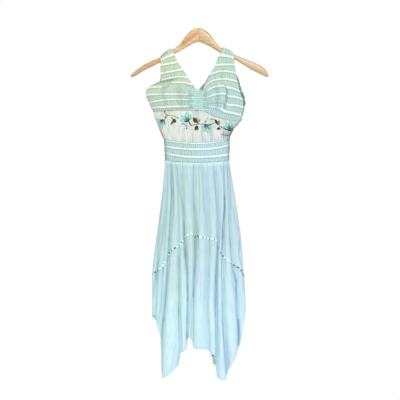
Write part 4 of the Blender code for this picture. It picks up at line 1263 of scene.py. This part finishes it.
def make_waistband(node, facing, columns, rows, seed):
    """The shirred band at the waist, front or back."""
    share = waist_share(np.linspace(0, 1, columns))[:, None]
    v = np.linspace(0, 1, rows)[None, :]
    points = waist_point(share, v, facing)
    run, down = middle_runs(points)
    stripe = np.broadcast_to(np.interp(v, *zip(*WAIST_STRIPES)), points.shape[:2])
    if facing == FRONT:
        stripe = stripe + 0.3 * np.clip(1 - 2 * share, 0, 1) ** 3 * smoothstep(0.3, 0.8, v)
        stripe = stripe + 0.2 * np.clip(2 * share - 1, 0, 1) ** 3 * smoothstep(0.8, 0.4, v)
    height, phase = shirring(seed, run, down, stripe)
    edge = from_sides(lengths_along(points, 0))
    height *= 0.2 + 0.8 * smoothstep(0, 5, edge)
    height -= 0.3 * np.exp(-down / 1.5)
    height *= 1 - 0.7 * np.exp(-(down[:, -1:] - down) / 3.0)
    points = points + surface_normals(points, facing) * height[..., None]
    # Painted shade along the side edges, where the band turns away
    dark = np.exp(-((edge / 11.0) ** 2))
    maps = (("Cloth", run, down), ("Pattern", phase, stripe), ("Fold", dark, 0 * dark))
    cloth_piece(node, "striped_cloth", points, maps, waist_striped, facing, WAIST_FULLNESS)


# Skirt
def spot(px, py):
    """x and drop of a place given in pixels of the photograph."""
    return (px - PIXEL_OF_AXIS) * PIXEL, HANGER_TOP_DROP + (py - PIXEL_OF_HANGER_TOP) * PIXEL


def along(places, values, place):
    """Smooth curves through values (places, curves), read at the array place."""
    places = np.asarray(places, float)
    values = np.asarray(values, float)
    slopes = np.empty_like(values)
    slopes[1:-1] = (values[2:] - values[:-2]) / (places[2:] - places[:-2])[:, None]
    slopes[0] = (values[1] - values[0]) / (places[1] - places[0])
    slopes[-1] = (values[-1] - values[-2]) / (places[-1] - places[-2])
    place = np.clip(place, places[0], places[-1])
    at = np.clip(np.searchsorted(places, place, side="right") - 1, 0, len(places) - 2)
    width = (places[at + 1] - places[at])[..., None]
    t = (place - places[at])[..., None] / width
    rise = t * t * (3 - 2 * t)
    start = t * (1 - t) ** 2
    end = t * t * (t - 1)
    straight_part = values[at] + (values[at + 1] - values[at]) * rise
    return straight_part + width * (start * slopes[at] + end * slopes[at + 1])


class Skirt:
    """One side of the skirt, front or back, as a function of column and drop."""

    def __init__(self, folds, facing, shadows, cell, seed):
        self.facing = facing
        self.shadows = [(dark, half, np.array([spot(*at) for at in line])) for dark, half, line in shadows]
        self.seed = seed
        columns = [np.array(column, float) for column in zip(*folds)]
        self.kinds, self.lines, self.depths, self.seams, self.hems = columns
        self.lines = self.lines.T
        widths = np.abs(np.diff(self.lines, axis=1)).max(axis=0)
        at = []
        share = []
        for i, width in enumerate(widths):
            steps = max(4, round(width / cell))
            at += [i] * steps
            share += list(np.arange(steps) / steps)
        self.at = np.array(at + [len(folds) - 2])
        self.share = np.array(share + [1.0])
        self.count = len(self.at)
        self.seam = self.between(self.seams)
        self.hem = self.between(self.hems)
        if facing == FRONT:
            low = along(LEVELS, self.lines, self.hem)
            index = np.arange(self.count)
            left = low[index, self.at]
            foot = left + (low[index, self.at + 1] - left) * self.share
            self.hem = np.interp(foot, *zip(*FRONT_HEM))
        x = self.between(self.lines[0])
        c = 2 * (x - WAIST_LEFT) / (WAIST_RIGHT - WAIST_LEFT) - 1
        self.top = WAIST_FOOT_DROP - WAIST_FOOT_SMILE * c * c + SEAM_GAP
        level = self.plain(np.repeat(self.seam[:, None], 2, 1))[:, 0]
        self.run = runs_of(level[:, :2])

    def between(self, values):
        return values[self.at] + (values[self.at + 1] - values[self.at]) * self.share

    def wave(self, drop):
        """x of the fold lines and of every column, and how far each column stands out."""
        x = along(LEVELS, self.lines, drop)
        wanted = np.empty_like(x)
        for k in range(len(self.kinds)):
            knots = (LEVELS[0], self.seams[k], self.hems[k])
            wanted[..., k] = np.interp(drop, knots, self.depths[k])
        wanted *= np.clip((drop - LEVELS[0]) / HEADING_FADE, 0, 1)[..., None]
        room = np.diff(x, axis=-1)
        room = np.minimum(room[..., :-1], room[..., 1:])
        depth = np.zeros_like(x)
        limit = np.maximum(room, 0) * FOLD_STEEPNESS
        depth[..., 1:-1] = np.minimum(wanted[..., 1:-1], limit) * self.kinds[1:-1]
        index = np.arange(self.count)
        left = x[index, :, self.at]
        right = x[index, :, self.at + 1]
        share = self.share[:, None]
        place = left + (right - left) * share
        from_valley = (self.kinds[self.at] < 0)[:, None]
        narrow = np.where(from_valley, 1 - (1 - share) ** VALLEY_NARROWING, share**VALLEY_NARROWING)
        smooth = 0.5 - 0.5 * np.cos(np.pi * narrow)
        high = depth[index, :, self.at]
        low = depth[index, :, self.at + 1]
        return x, place, high + (low - high) * smooth

    def plain(self, drop):
        """The folded surface without its gathers and creases."""
        x, place, wave = self.wave(drop)
        left = x[..., 0]
        right = x[..., -1]
        half = (right - left) / 2
        table = FRONT_DEPTH if self.facing == FRONT else BACK_DEPTH
        depth = along(LEVELS, np.array(table, float)[:, None], drop)[..., 0]
        c = np.clip((place - (left + right) / 2) / half, -1, 1)
        s = np.sqrt(1 - c * c)
        out = unit(np.stack([c / half, self.facing * s / depth], -1))
        points = np.empty((*drop.shape, 3))
        points[..., 0] = place + out[..., 0] * wave
        points[..., 1] = self.facing * (depth * s + SEAM_GAP / 2) + out[..., 1] * wave
        points[..., 2] = -drop
        return points

    def shadow(self, drop, narrow):
        """Darkness of the fold lines over the sheet."""
        place = self.wave(drop)[1]
        total = np.zeros_like(drop)
        for dark, half, line in self.shadows:
            x = np.interp(drop, line[:, 1], line[:, 0])
            start, end = line[0, 1], line[-1, 1]
            window = smoothstep(start - CREASE_FADE, start + CREASE_FADE, drop)
            window = window * smoothstep(end + CREASE_FADE, end - CREASE_FADE, drop)
            uneven = 1 + 0.3 * drift(int(dark * 100) + 200, drop + x, 30.0)
            total += dark * uneven * window * np.exp(-(((place - x) / (half * narrow)) ** 2))
        return total

    def tone(self, drop):
        """The Fold map: painted shade in fold lines, hollows between the ridges and the turn round the
        sides, and painted highlights on the ridges and the heading.
        """
        _, place, wave = self.wave(drop)
        fall = np.maximum(drop - self.top[:, None], 0)
        edge = from_sides(self.run)[:, None]
        hollow = 0.10 * np.clip(-wave / 6.0, 0, 1.2)
        ridge = 0.06 * np.clip(wave / 6.0, 0, 1.2)
        small = np.clip(-self.relief(drop), 0, 3) * 0.05
        sides = 0.22 * np.exp(-((edge / 5.0) ** 2))
        if self.facing == FRONT:
            x, low, wide, high = CORNER_SHADOW
            corner = np.exp(-(((place - x) / wide) ** 2) - ((drop - low) / high) ** 2)
            hollow = hollow + 0.9 * corner
        total = self.shadow(drop, 0.65) * 1.8 + hollow - ridge + small + sides
        return np.clip(total + BASE_SHADE, 0, 1), 0.35 * smoothstep(17.0, 5.0, fall)

    def relief(self, drop):
        """Gathers, soft creases and crinkle, as a height over the folded surface."""
        seed = self.seed
        run = np.broadcast_to(self.run[:, None], drop.shape)
        fall = np.maximum(drop - self.top[:, None], 0)
        below = drop - self.seam[:, None]
        height = 1.5 * gathers(seed, run, fall, *SKIRT_GATHERS)
        height += 0.9 * (cloud(seed + 2, run, drop, 15.0, 150.0) + cloud(seed + 3, run, drop, 7.0, 90.0))
        height += 0.35 * cloud(seed + 4, run, drop, 3.6, 34.0)
        small = gathers(seed + 5, run, np.maximum(below, 0), *FLOUNCE_GATHERS)
        height += np.where(below > 0, 0.9 * small * smoothstep(0, 6, below), 0)
        height -= CREASE_DEPTH * self.shadow(drop, 0.7)
        sides = smoothstep(0, 8, from_sides(run))
        height *= 0.1 + 0.9 * sides
        height += HEADING_HEIGHT * np.exp(-(((fall - HEADING_DROP) / HEADING_HALF) ** 2)) * sides
        fine = np.sin(2 * np.pi * run / 4.1 + 3 * drift(seed + 8, run, 11.0))
        height += 0.5 * fine * np.exp(-fall / 14.0) * sides
        return height

    def surface(self, drop):
        points = self.plain(drop)
        normals = surface_normals(points, self.facing)
        flat = np.linalg.norm(normals, axis=2) < 0.5
        normals[flat] = (0, self.facing, 0)
        return points + normals * self.relief(drop)[..., None], normals


def make_skirt(label, folds, facing, shadows, cell, upper_rows, flounce_rows, seed):
    """The upper skirt and the flounce, whose hem is turned once."""
    skirt = Skirt(folds, facing, shadows, cell, seed)
    hem = skirt.hem + HEM_WOBBLE * drift(seed + 31, skirt.run, HEM_WOBBLE_PERIOD)
    half_gap = SEAM_GAP / 2
    for part, start, end, rows, ease, material, held, fullness in (
        ("skirt_", skirt.top, skirt.seam - half_gap, upper_rows, 1.15, aqua, "gathered", SKIRT_FULLNESS),
        ("flounce_", skirt.seam + half_gap, hem, flounce_rows, 1.0, pale_aqua, "hung", FLOUNCE_FULLNESS),
    ):
        v = np.linspace(0, 1, rows)[None, :] ** ease
        drop = start[:, None] + (end - start)[:, None] * v
        points, normals = skirt.surface(drop)
        if part == "flounce_":
            turned = smoothstep(HEM_TURN + 0.6, HEM_TURN - 0.6, end[:, None] - drop)
            points += normals * (HEM_TURN_LIFT * turned)[..., None]
        run = np.broadcast_to(skirt.run[:, None], drop.shape)
        maps = (("Cloth", run, drop - LEVELS[0]), ("Fold", *skirt.tone(drop)))
        cloth_piece(part + label, "skirt_cloth", points, maps, material, facing, fullness, held)
    return skirt


def squared(normal, run):
    """Normals made square to a run and one long."""
    return unit(normal - run * (normal * run).sum(axis=1, keepdims=True))


def seam_frame(skirt, line_drop):
    """Points and outward normals along a line over the skirt."""
    points, normals = skirt.surface(line_drop[:, None] + np.array((-SEAM_STEP, 0.0, SEAM_STEP)))
    middle = points[:, 1]
    return middle, squared(normals[:, 1], unit(np.gradient(middle, axis=0)))


def make_braid(label, skirt, facing, hidden, pale_shares, seed):
    """A twist of pale and dark lengths over the flounce seam, tucked into the deepest folds."""
    middle, normal = seam_frame(skirt, skirt.seam)
    runs = runs_of(middle)
    places = np.linspace(0, runs[-1], int(runs[-1] / BRAID_STEP))
    line = softened(read_at(places, runs, middle), 4)
    out = softened(read_at(places, runs, normal), 4)
    run = unit(np.gradient(line, axis=0))
    out = squared(out, run)
    side = np.cross(run, out)
    x = line[:, 0]
    phase = places / BRAID_PITCH + 0.12 * drift(seed, places, 30.0)
    part = phase - np.floor(phase)
    pale_share = np.interp(x, *zip(*pale_shares))
    pale = part < pale_share
    within = np.where(pale, part / pale_share, (part - pale_share) / (1 - pale_share))
    pad = np.sin(np.pi * np.clip(within, 0.02, 0.98)) ** 0.5
    across = np.linspace(-1, 1, BRAID_ACROSS)
    dome = np.sqrt(np.maximum(1 - (across * 0.97) ** 2, 0))
    half = BRAID_WIDTH / 2 * np.where(pale, 0.9 + 0.35 * pad, 0.7 + 0.1 * pad)
    tucked = np.zeros(len(places))
    for start, end in hidden:
        inside = smoothstep(start - 1.5, start + 1.0, x) * smoothstep(end + 1.5, end - 1.0, x)
        tucked = np.maximum(tucked, inside)
    thick = np.where(pale, 0.55 + 0.65 * pad, 0.45 + 0.3 * pad)
    lift = BRAID_LIFT - BRAID_TUCK * tucked[:, None] + thick[:, None] * dome
    points = line[:, None] + side[:, None] * (half[:, None] * across)[..., None]
    points = points + out[:, None] * lift[..., None]
    turns = np.broadcast_to((places / BRAID_STRAND)[:, None], lift.shape)
    maps = (("Cloth", turns, np.full(lift.shape, 0.5)),)
    made = grid_piece("braid_" + label, points, maps, braid_pale, facing == FRONT, BRAID_THICK)
    made.data.materials.append(braid_dark)
    faces = np.repeat(np.where(pale[:-1], 0, 1), BRAID_ACROSS - 1).astype(np.int32)
    made.data.polygons.foreach_set("material_index", faces)
    dress(made, "trim_" + label)


# Stitches
def make_hem_stitches(skirts):
    """Running stitches along the turned hems."""
    points = []
    faces = []
    share, rise, narrow = np.array(STITCH, float).T
    for skirt in skirts:
        line, normal = seam_frame(skirt, skirt.hem - HEM_TURN)
        line = line + normal * STITCH_LIFT
        runs = runs_of(line)
        for start in np.arange(STITCH_LENGTH, runs[-1] - STITCH_LENGTH, STITCH_LENGTH + STITCH_GAP):
            places = start + share * STITCH_LENGTH
            spine = read_at(places, runs, line)
            out = read_at(places, runs, normal)
            side = np.cross(unit(spine[-1] - spine[0]), out)
            spine = spine + out * (rise * STITCH_RADIUS)[:, None]
            faces += ring_faces(len(STITCH), STITCH_SIDES, len(points))
            for at, radius in enumerate(STITCH_RADIUS * narrow):
                points += list(ring(spine[at], side[at], out[at], radius, STITCH_SIDES))
    made = listed_piece("hem_stitches", points, faces, braid_pale)
    made.data.uv_layers.new(name="Cloth")
    dress(made)


# Embroidery over the front midriff
class Ground:
    """The midriff's front as embroidery meets it."""

    def __init__(self, points):
        quads = grid_quads(*points.shape[:2])[:, OTHER_WAY]
        self.tree = BVHTree.FromPolygons(points.reshape(-1, 3).tolist(), quads.tolist())

    def place(self, x, drop):
        hit, normal, _, _ = self.tree.ray_cast(Vector((x, -RAY_START, -drop)), Vector((0.0, 1.0, 0.0)))
        if hit is None:
            hit, normal, _, _ = self.tree.find_nearest(Vector((x, -NEAREST_START, -drop)))
        if normal.y > 0:
            normal = -normal
        return np.array(hit), np.array(normal)


def heading(base, tip):
    """The base, and the length, the direction and the sideways direction from it to the tip."""
    base = np.array(base, float)
    run = np.array(tip, float) - base
    length = np.linalg.norm(run)
    run = run / length
    return base, length, run, np.array((-run[1], run[0]))


class Thread:
    """Collects the satin stitches, stems and knots of one thread colour."""

    def __init__(self, ground):
        self.ground = ground
        self.points = []
        self.faces = []
        self.maps = []

    def pad(self, base, tip, width, rise, bend, shape, strands):
        """A raised satin-stitch shape from base to tip."""
        base, length, run, side = heading(base, tip)
        first = len(self.points)
        for s in np.linspace(0, 1, PAD_LENGTHS):
            half = width / 2 * math.sin(math.pi * min(max(s, 0.02), 0.98) ** shape) ** 0.75
            end = math.sin(math.pi * min(max(s, 0.03), 0.97)) ** 0.3
            for t in np.linspace(-1, 1, PAD_WIDTHS):
                ragged = 1 + 0.06 * math.sin(37 * s + 11 * t + first)
                aside = half * t + bend * math.sin(math.pi * s)
                place = base + run * (length * s * ragged) + side * aside
                spot, normal = self.ground.place(*place)
                dome = math.sqrt(max(1 - (0.98 * t) ** 2, 0)) * end
                self.points.append(spot + normal * (rise * dome - 0.12))
                self.maps.append(((t + 1) / 2 * strands, s))
        quads = grid_quads(PAD_LENGTHS, PAD_WIDTHS)[:, OTHER_WAY]
        self.faces += (first + quads).tolist()

    def leaf(self, base, tip, width, rise):
        """A leaf in two halves that meet in a vein."""
        base, _, _, side = heading(base, tip)
        for hand in (-1, 1):
            shift = side * hand * width * 0.14
            self.pad(base + shift * 0.4, tip + shift * 0.2, width * 0.55, rise, hand * width * 0.22, 0.9, 5)

    def stem(self, places, radius=0.75, sides=7):
        """A stem-stitch line through places given as x and drop."""
        keys = np.array(places, float)
        count = max(8, int(np.linalg.norm(np.diff(keys, axis=0), axis=1).sum() / 1.1))
        line = catmull(keys, np.linspace(0, len(keys) - 1, count))
        spots, normals = map(np.array, zip(*(self.ground.place(*place) for place in line)))
        spots = softened(spots + normals * radius * 0.4, 1)
        run = unit(np.gradient(spots, axis=0))
        self.faces += ring_faces(count, sides, len(self.points))
        for at in range(count):
            side = np.cross(run[at], normals[at])
            r = radius * (1 + 0.22 * math.sin(at * 2.1)) * (0.5 if at in (0, count - 1) else 1)
            self.points += list(ring(spots[at], side, normals[at], r, sides))
            self.maps += [(i / sides * 2 + at * 0.35, 0.4) for i in range(sides)]

    def knot(self, x, drop, radius, levels=5, sides=12):
        """A round knot."""
        spot, normal = self.ground.place(x, drop)
        side = unit(np.cross(normal, (0.0, 0.0, 1.0)))
        up = np.cross(side, normal)
        first = len(self.points)
        turn = np.linspace(0, 2 * np.pi, sides, endpoint=False)[:, None]
        for level in range(levels):
            lift = math.pi / 2 * level / (levels - 1)
            r = radius * max(math.cos(lift), 0.05) * (1 + 0.05 * level)
            wound = r * (1 + 0.08 * np.sin(3 * turn + level))
            centre = spot + normal * (radius * 0.75 * math.sin(lift) - 0.1)
            self.points += list(ring(centre, side, up, wound, sides))
            self.maps += [(level + i / sides, 0.6) for i in range(sides)]
        self.faces += ring_faces(levels, sides, first)
        self.faces.append(tuple(range(first + (levels - 1) * sides, first + levels * sides)))

    def finish(self, name, material):
        dress(listed_piece(name, self.points, self.faces, material, self.maps, True))


# Flowers, in pixels of the photograph: the heart, then the tip and width of each petal
FLOWERS = (
    ((162.3, 119.8), ((156.8, 121.6, 3.6), (158.6, 125.8, 4.2), (161.9, 127.4, 4.4), (165.3, 125.0, 3.8))),
    ((188.6, 121.2), ((180.2, 120.6, 4.2), (181.2, 116.2, 4.6), (186.0, 112.9, 5.0), (190.9, 115.0, 4.4))),
    ((206.0, 124.2), ((201.3, 127.2, 4.2), (203.6, 131.6, 4.6), (208.3, 133.6, 4.8), (211.9, 129.2, 4.2))),
    ((229.8, 129.6), ((223.6, 126.6, 4.0), (226.0, 122.4, 4.6), (230.6, 120.8, 4.6), (233.4, 124.8, 3.8))),
)
# Dark streaks: start, end and width
STREAKS = (
    ((160.2, 120.2), (164.6, 119.9), 1.5),
    ((164.2, 120.0), (165.0, 124.4), 0.9),
    ((161.4, 121.2), (160.6, 124.6), 0.5),
    ((184.2, 121.2), (189.4, 121.9), 1.4),
    ((189.2, 121.6), (188.4, 116.6), 0.9),
    ((188.8, 121.6), (191.6, 126.2), 1.2),
    ((186.8, 119.8), (185.4, 116.8), 0.5),
    ((204.4, 123.8), (208.0, 126.4), 1.3),
    ((207.2, 125.8), (212.4, 124.2), 1.1),
    ((205.2, 125.0), (205.4, 129.0), 0.6),
    ((208.8, 126.4), (209.6, 130.0), 0.7),
    ((223.2, 128.0), (227.6, 130.0), 1.1),
    ((226.8, 129.7), (232.4, 130.6), 1.6),
    ((232.4, 130.4), (232.2, 124.6), 0.9),
    ((229.2, 128.2), (228.4, 124.8), 0.5),
)
VINES = (
    ((164.6, 112.6), (165.4, 113.8), (168, 115.2), (171, 115.5), (175, 116.8), (179, 118.4)),
    ((168, 115.4), (166.4, 117.2), (164.8, 119.6)),
    ((191.4, 126), (194, 124.6), (198, 124.3), (203, 124)),
    ((198.5, 124.3), (197.6, 122.8), (196.8, 121.2)),
    ((196.6, 124.6), (196.3, 126), (196.2, 127.2)),
    ((212, 124.2), (214.6, 123.2), (216.4, 122)),
    ((219, 126), (220.4, 127), (223.4, 128.2)),
    ((232.4, 131), (230.6, 134.4), (226, 135.2), (222, 134.4)),
    ((171.2, 117), (172.6, 118.6), (174, 120)),
    ((182, 123.4), (184.6, 124.6), (187, 126.6), (186.6, 128.6)),
    ((216.5, 121), (213.6, 119.8), (211, 119.3)),
)
# Leaves: base, tip and width
DARK_LEAVES = (
    ((173.0, 119.2), (175.9, 122.8), 3.4),
    ((171.2, 123.4), (173.6, 121.4), 1.8),
    ((193.2, 118.8), (197.6, 122.9), 4.2),
    ((197.8, 126.0), (194.9, 130.4), 3.4),
    ((214.9, 119.6), (218.4, 125.4), 2.6),
    ((216.8, 128.8), (220.6, 128.6), 2.6),
)
OLIVE_LEAVES = (
    ((170.4, 124.6), (173.2, 122.6), 2.0),
    ((192.2, 118.2), (198.8, 119.0), 2.2),
    ((199.4, 119.4), (198.4, 123.6), 2.0),
    ((198.4, 127.6), (196.6, 131.2), 1.8),
    ((218.6, 120.6), (219.6, 125.2), 2.0),
    ((204.8, 122.6), (206.4, 120.6), 1.8),
    ((232.6, 131.8), (234.6, 128.0), 1.8),
    ((164.8, 118.6), (166.2, 115.4), 1.5),
)
CREAM_LEAVES = (
    ((172.8, 118.2), (167.0, 121.6), 4.6),
    ((191.2, 117.2), (192.6, 123.2), 3.0),
    ((200.8, 117.8), (198.6, 124.4), 2.8),
    ((195.0, 125.2), (191.8, 129.8), 3.2),
    ((219.6, 120.4), (222.2, 126.6), 3.6),
    ((213.4, 126.0), (216.4, 129.8), 3.0),
    ((160.0, 115.8), (165.0, 113.2), 2.6),
    ((176.6, 118.0), (179.6, 119.6), 2.0),
    ((205.6, 119.2), (209.4, 121.2), 2.4),
    ((234.0, 123.6), (235.4, 128.6), 1.8),
)
KNOTS = (
    (156.0, 118.7, 2.1), (164.5, 112.0, 2.3), (186.6, 128.7, 2.0), (208.0, 118.4, 1.5), (211.0, 119.3, 1.9),
    (184.6, 129.2, 1.2), (221.6, 127.0, 1.9), (182.2, 124.2, 1.4), (222.0, 134.4, 1.2), (191.6, 129.4, 1.2),
)


def between(start, end, share):
    """A place in the photograph on the way from one to another."""
    return spot(*(a + (b - a) * share for a, b in zip(start, end)))


def make_embroidery(points):
    ground = Ground(points)
    petals, light, deep, dark, olive, cream = (Thread(ground) for _ in range(6))
    for heart, lobes in FLOWERS:
        last_tip = None
        for step, (px, py, width) in enumerate(lobes):
            tip = (px, py)
            bend = (0.8, -0.8, 0.6, -0.6)[step]
            rise = 0.8 + 0.18 * step
            petals.pad(spot(*heart), spot(*tip), width * PIXEL, rise, bend, 1.35, 9)
            # A pad of paler thread in the middle of the petal, a painted highlight
            start = between(heart, tip, 0.25)
            light.pad(start, between(heart, tip, 0.8), width * 1.1, 1.5, bend, 1.2, 5)
            if last_tip:
                vein = ((px + last_tip[0]) / 2, (py + last_tip[1]) / 2)
                deep.pad(spot(*heart), between(heart, vein, 0.72), 1.9, 1.9, 0.0, 0.9, 2)
            last_tip = tip
    for start, end, width in STREAKS:
        dark.pad(spot(*start), spot(*end), width * PIXEL, 2.0, 0.0, 0.9, 3)
    for line in VINES:
        dark.stem([spot(*place) for place in line])
    kinds = ((DARK_LEAVES, dark, 1.1), (OLIVE_LEAVES, olive, 0.9), (CREAM_LEAVES, cream, 0.4))
    for leaves, thread, rise in kinds:
        for base, tip, width in leaves:
            thread.leaf(spot(*base), spot(*tip), width * PIXEL, rise)
    for px, py, radius in KNOTS:
        dark.knot(*spot(px, py), radius)
    petals.finish("embroidered_petals", petal_thread)
    light.finish("embroidered_petal_highlights", petal_highlight)
    deep.finish("embroidered_petal_veins", petal_deep)
    dark.finish("embroidered_vines", vine_thread)
    olive.finish("embroidered_olive_leaves", olive_thread)
    cream.finish("embroidered_pale_leaves", cream_thread)


def make_loose_threads():
    """Thread ends that hang at the notch in the front hem, joined into one piece."""
    made = []
    t = np.linspace(0, 1, 9)
    for at in range(LOOSE_STRANDS):
        lower = at / LOOSE_STRANDS
        px, py = LOOSE_ROOT
        x, drop = spot(px, py + LOOSE_SPREAD * lower)
        angle = LOOSE_ANGLE + LOOSE_ANGLE_CHANGE * drift(111, at, 1.0) + LOOSE_ANGLE_RISE * lower
        angle = math.radians(angle)
        length = (LOOSE_LENGTH + LOOSE_LENGTH_CHANGE * drift(113, at, 1.0)) * (1 - 0.7 * lower)
        curl = 3.0 * drift(115, t * 2.0 + 10 * at, 1.0)
        deep = LOOSE_DEPTH + 2.0 * drift(117, t * 2.0 + 10 * at, 1.0)
        x = x + length * t * math.cos(angle)
        drop = drop - length * t * math.sin(angle) + LOOSE_SAG * t * t + curl
        path = np.stack([x, -deep, -drop], -1)
        made.append(tube("strand", path, LOOSE_RADIUS, loose_thread, 6))
    bpy.ops.object.select_all(action="DESELECT")
    for strand in made:
        strand.data.uv_layers.new(name="Cloth")
        strand.select_set(True)
    bpy.context.view_layer.objects.active = made[0]
    bpy.ops.object.join()
    joined = bpy.context.object
    joined.name = "loose_threads"
    dress(joined)


make_arms()
make_hook()
bodice_piece("cup_left", CUP_LEFT, "left", FRONT, LEFT_CREASES, 11, FRONT_CELL, 5.0, 4.6)
bodice_piece("cup_right", CUP_RIGHT, "right", FRONT, RIGHT_CREASES, 23, FRONT_CELL, 5.1, 4.9)
bodice_piece("back_left", BACK_LEFT, "left", BACK, BACK_CREASES, 37, BACK_CELL, 4.9, 4.9)
bodice_piece("back_right", BACK_RIGHT, "right", BACK, BACK_CREASES, 41, BACK_CELL, 5.0, 4.9)
make_tab()
midriff_points = make_midriff("midriff_front", CUP_LEFT, CUP_RIGHT, FRONT, columns=230, rows=64, seed=53)
make_midriff("midriff_back", BACK_LEFT, BACK_RIGHT, BACK, columns=150, rows=44, seed=59)
make_waistband("waistband_front", FRONT, columns=200, rows=44, seed=61)
make_waistband("waistband_back", BACK, columns=150, rows=36, seed=67)
front_rows = {"upper_rows": 96, "flounce_rows": 108}
back_rows = {"upper_rows": 70, "flounce_rows": 76}
front = make_skirt("front", FRONT_FOLDS, FRONT, FRONT_LINES, cell=1.6, seed=83, **front_rows)
back = make_skirt("back", BACK_FOLDS, BACK, BACK_LINES, cell=2.2, seed=97, **back_rows)
make_braid("front", front, FRONT, FRONT_BRAID_HIDDEN, FRONT_BRAID_PALE, 101)
make_braid("back", back, BACK, BACK_BRAID_HIDDEN, BACK_BRAID_PALE, 103)
make_embroidery(midriff_points)
make_loose_threads()
make_hem_stitches((front, back))

# Floor, light and camera
bpy.ops.mesh.primitive_circle_add(
    vertices=96, radius=FLOOR_RADIUS * MM, fill_type="NGON", location=(0, 0, -FLOOR_DROP * MM)
)
floor = bpy.context.object
floor.name = "floor_disc"
floor.data.materials.append(floor_material())

world = bpy.data.worlds.new("studio")
bpy.context.scene.world = world
world.use_nodes = True
background = world.node_tree.nodes["Background"]
background.inputs["Color"].default_value = (1.0, 1.0, 1.0, 1.0)
background.inputs["Strength"].default_value = 1.0

light_data = bpy.data.lights.new("key_light", "AREA")
light_data.shape = "RECTANGLE"
light_data.size = LIGHT_SIZE
light_data.size_y = LIGHT_SIZE
light_data.energy = LIGHT_POWER
light = placed("key_light", light_data)
light.location = LIGHT_PLACE
aim = Vector(LIGHT_AIM) - Vector(LIGHT_PLACE)
light.rotation_euler = aim.to_track_quat("-Z", "Y").to_euler()

camera_data = bpy.data.cameras.new("photo_camera")
camera_data.sensor_width = SENSOR
camera_data.lens = SENSOR * (CAMERA_DISTANCE - DRESS_FRONT) / (PHOTO_PIXELS * PIXEL)
camera = placed("photo_camera", camera_data)
camera_x, camera_drop = spot(PHOTO_PIXELS / 2, PHOTO_PIXELS / 2)
camera.location = (camera_x * MM, -CAMERA_DISTANCE * MM, -camera_drop * MM)
camera.rotation_euler = (math.pi / 2, 0, 0)
bpy.context.scene.camera = camera
bpy.context.scene.view_settings.view_transform = "Standard"
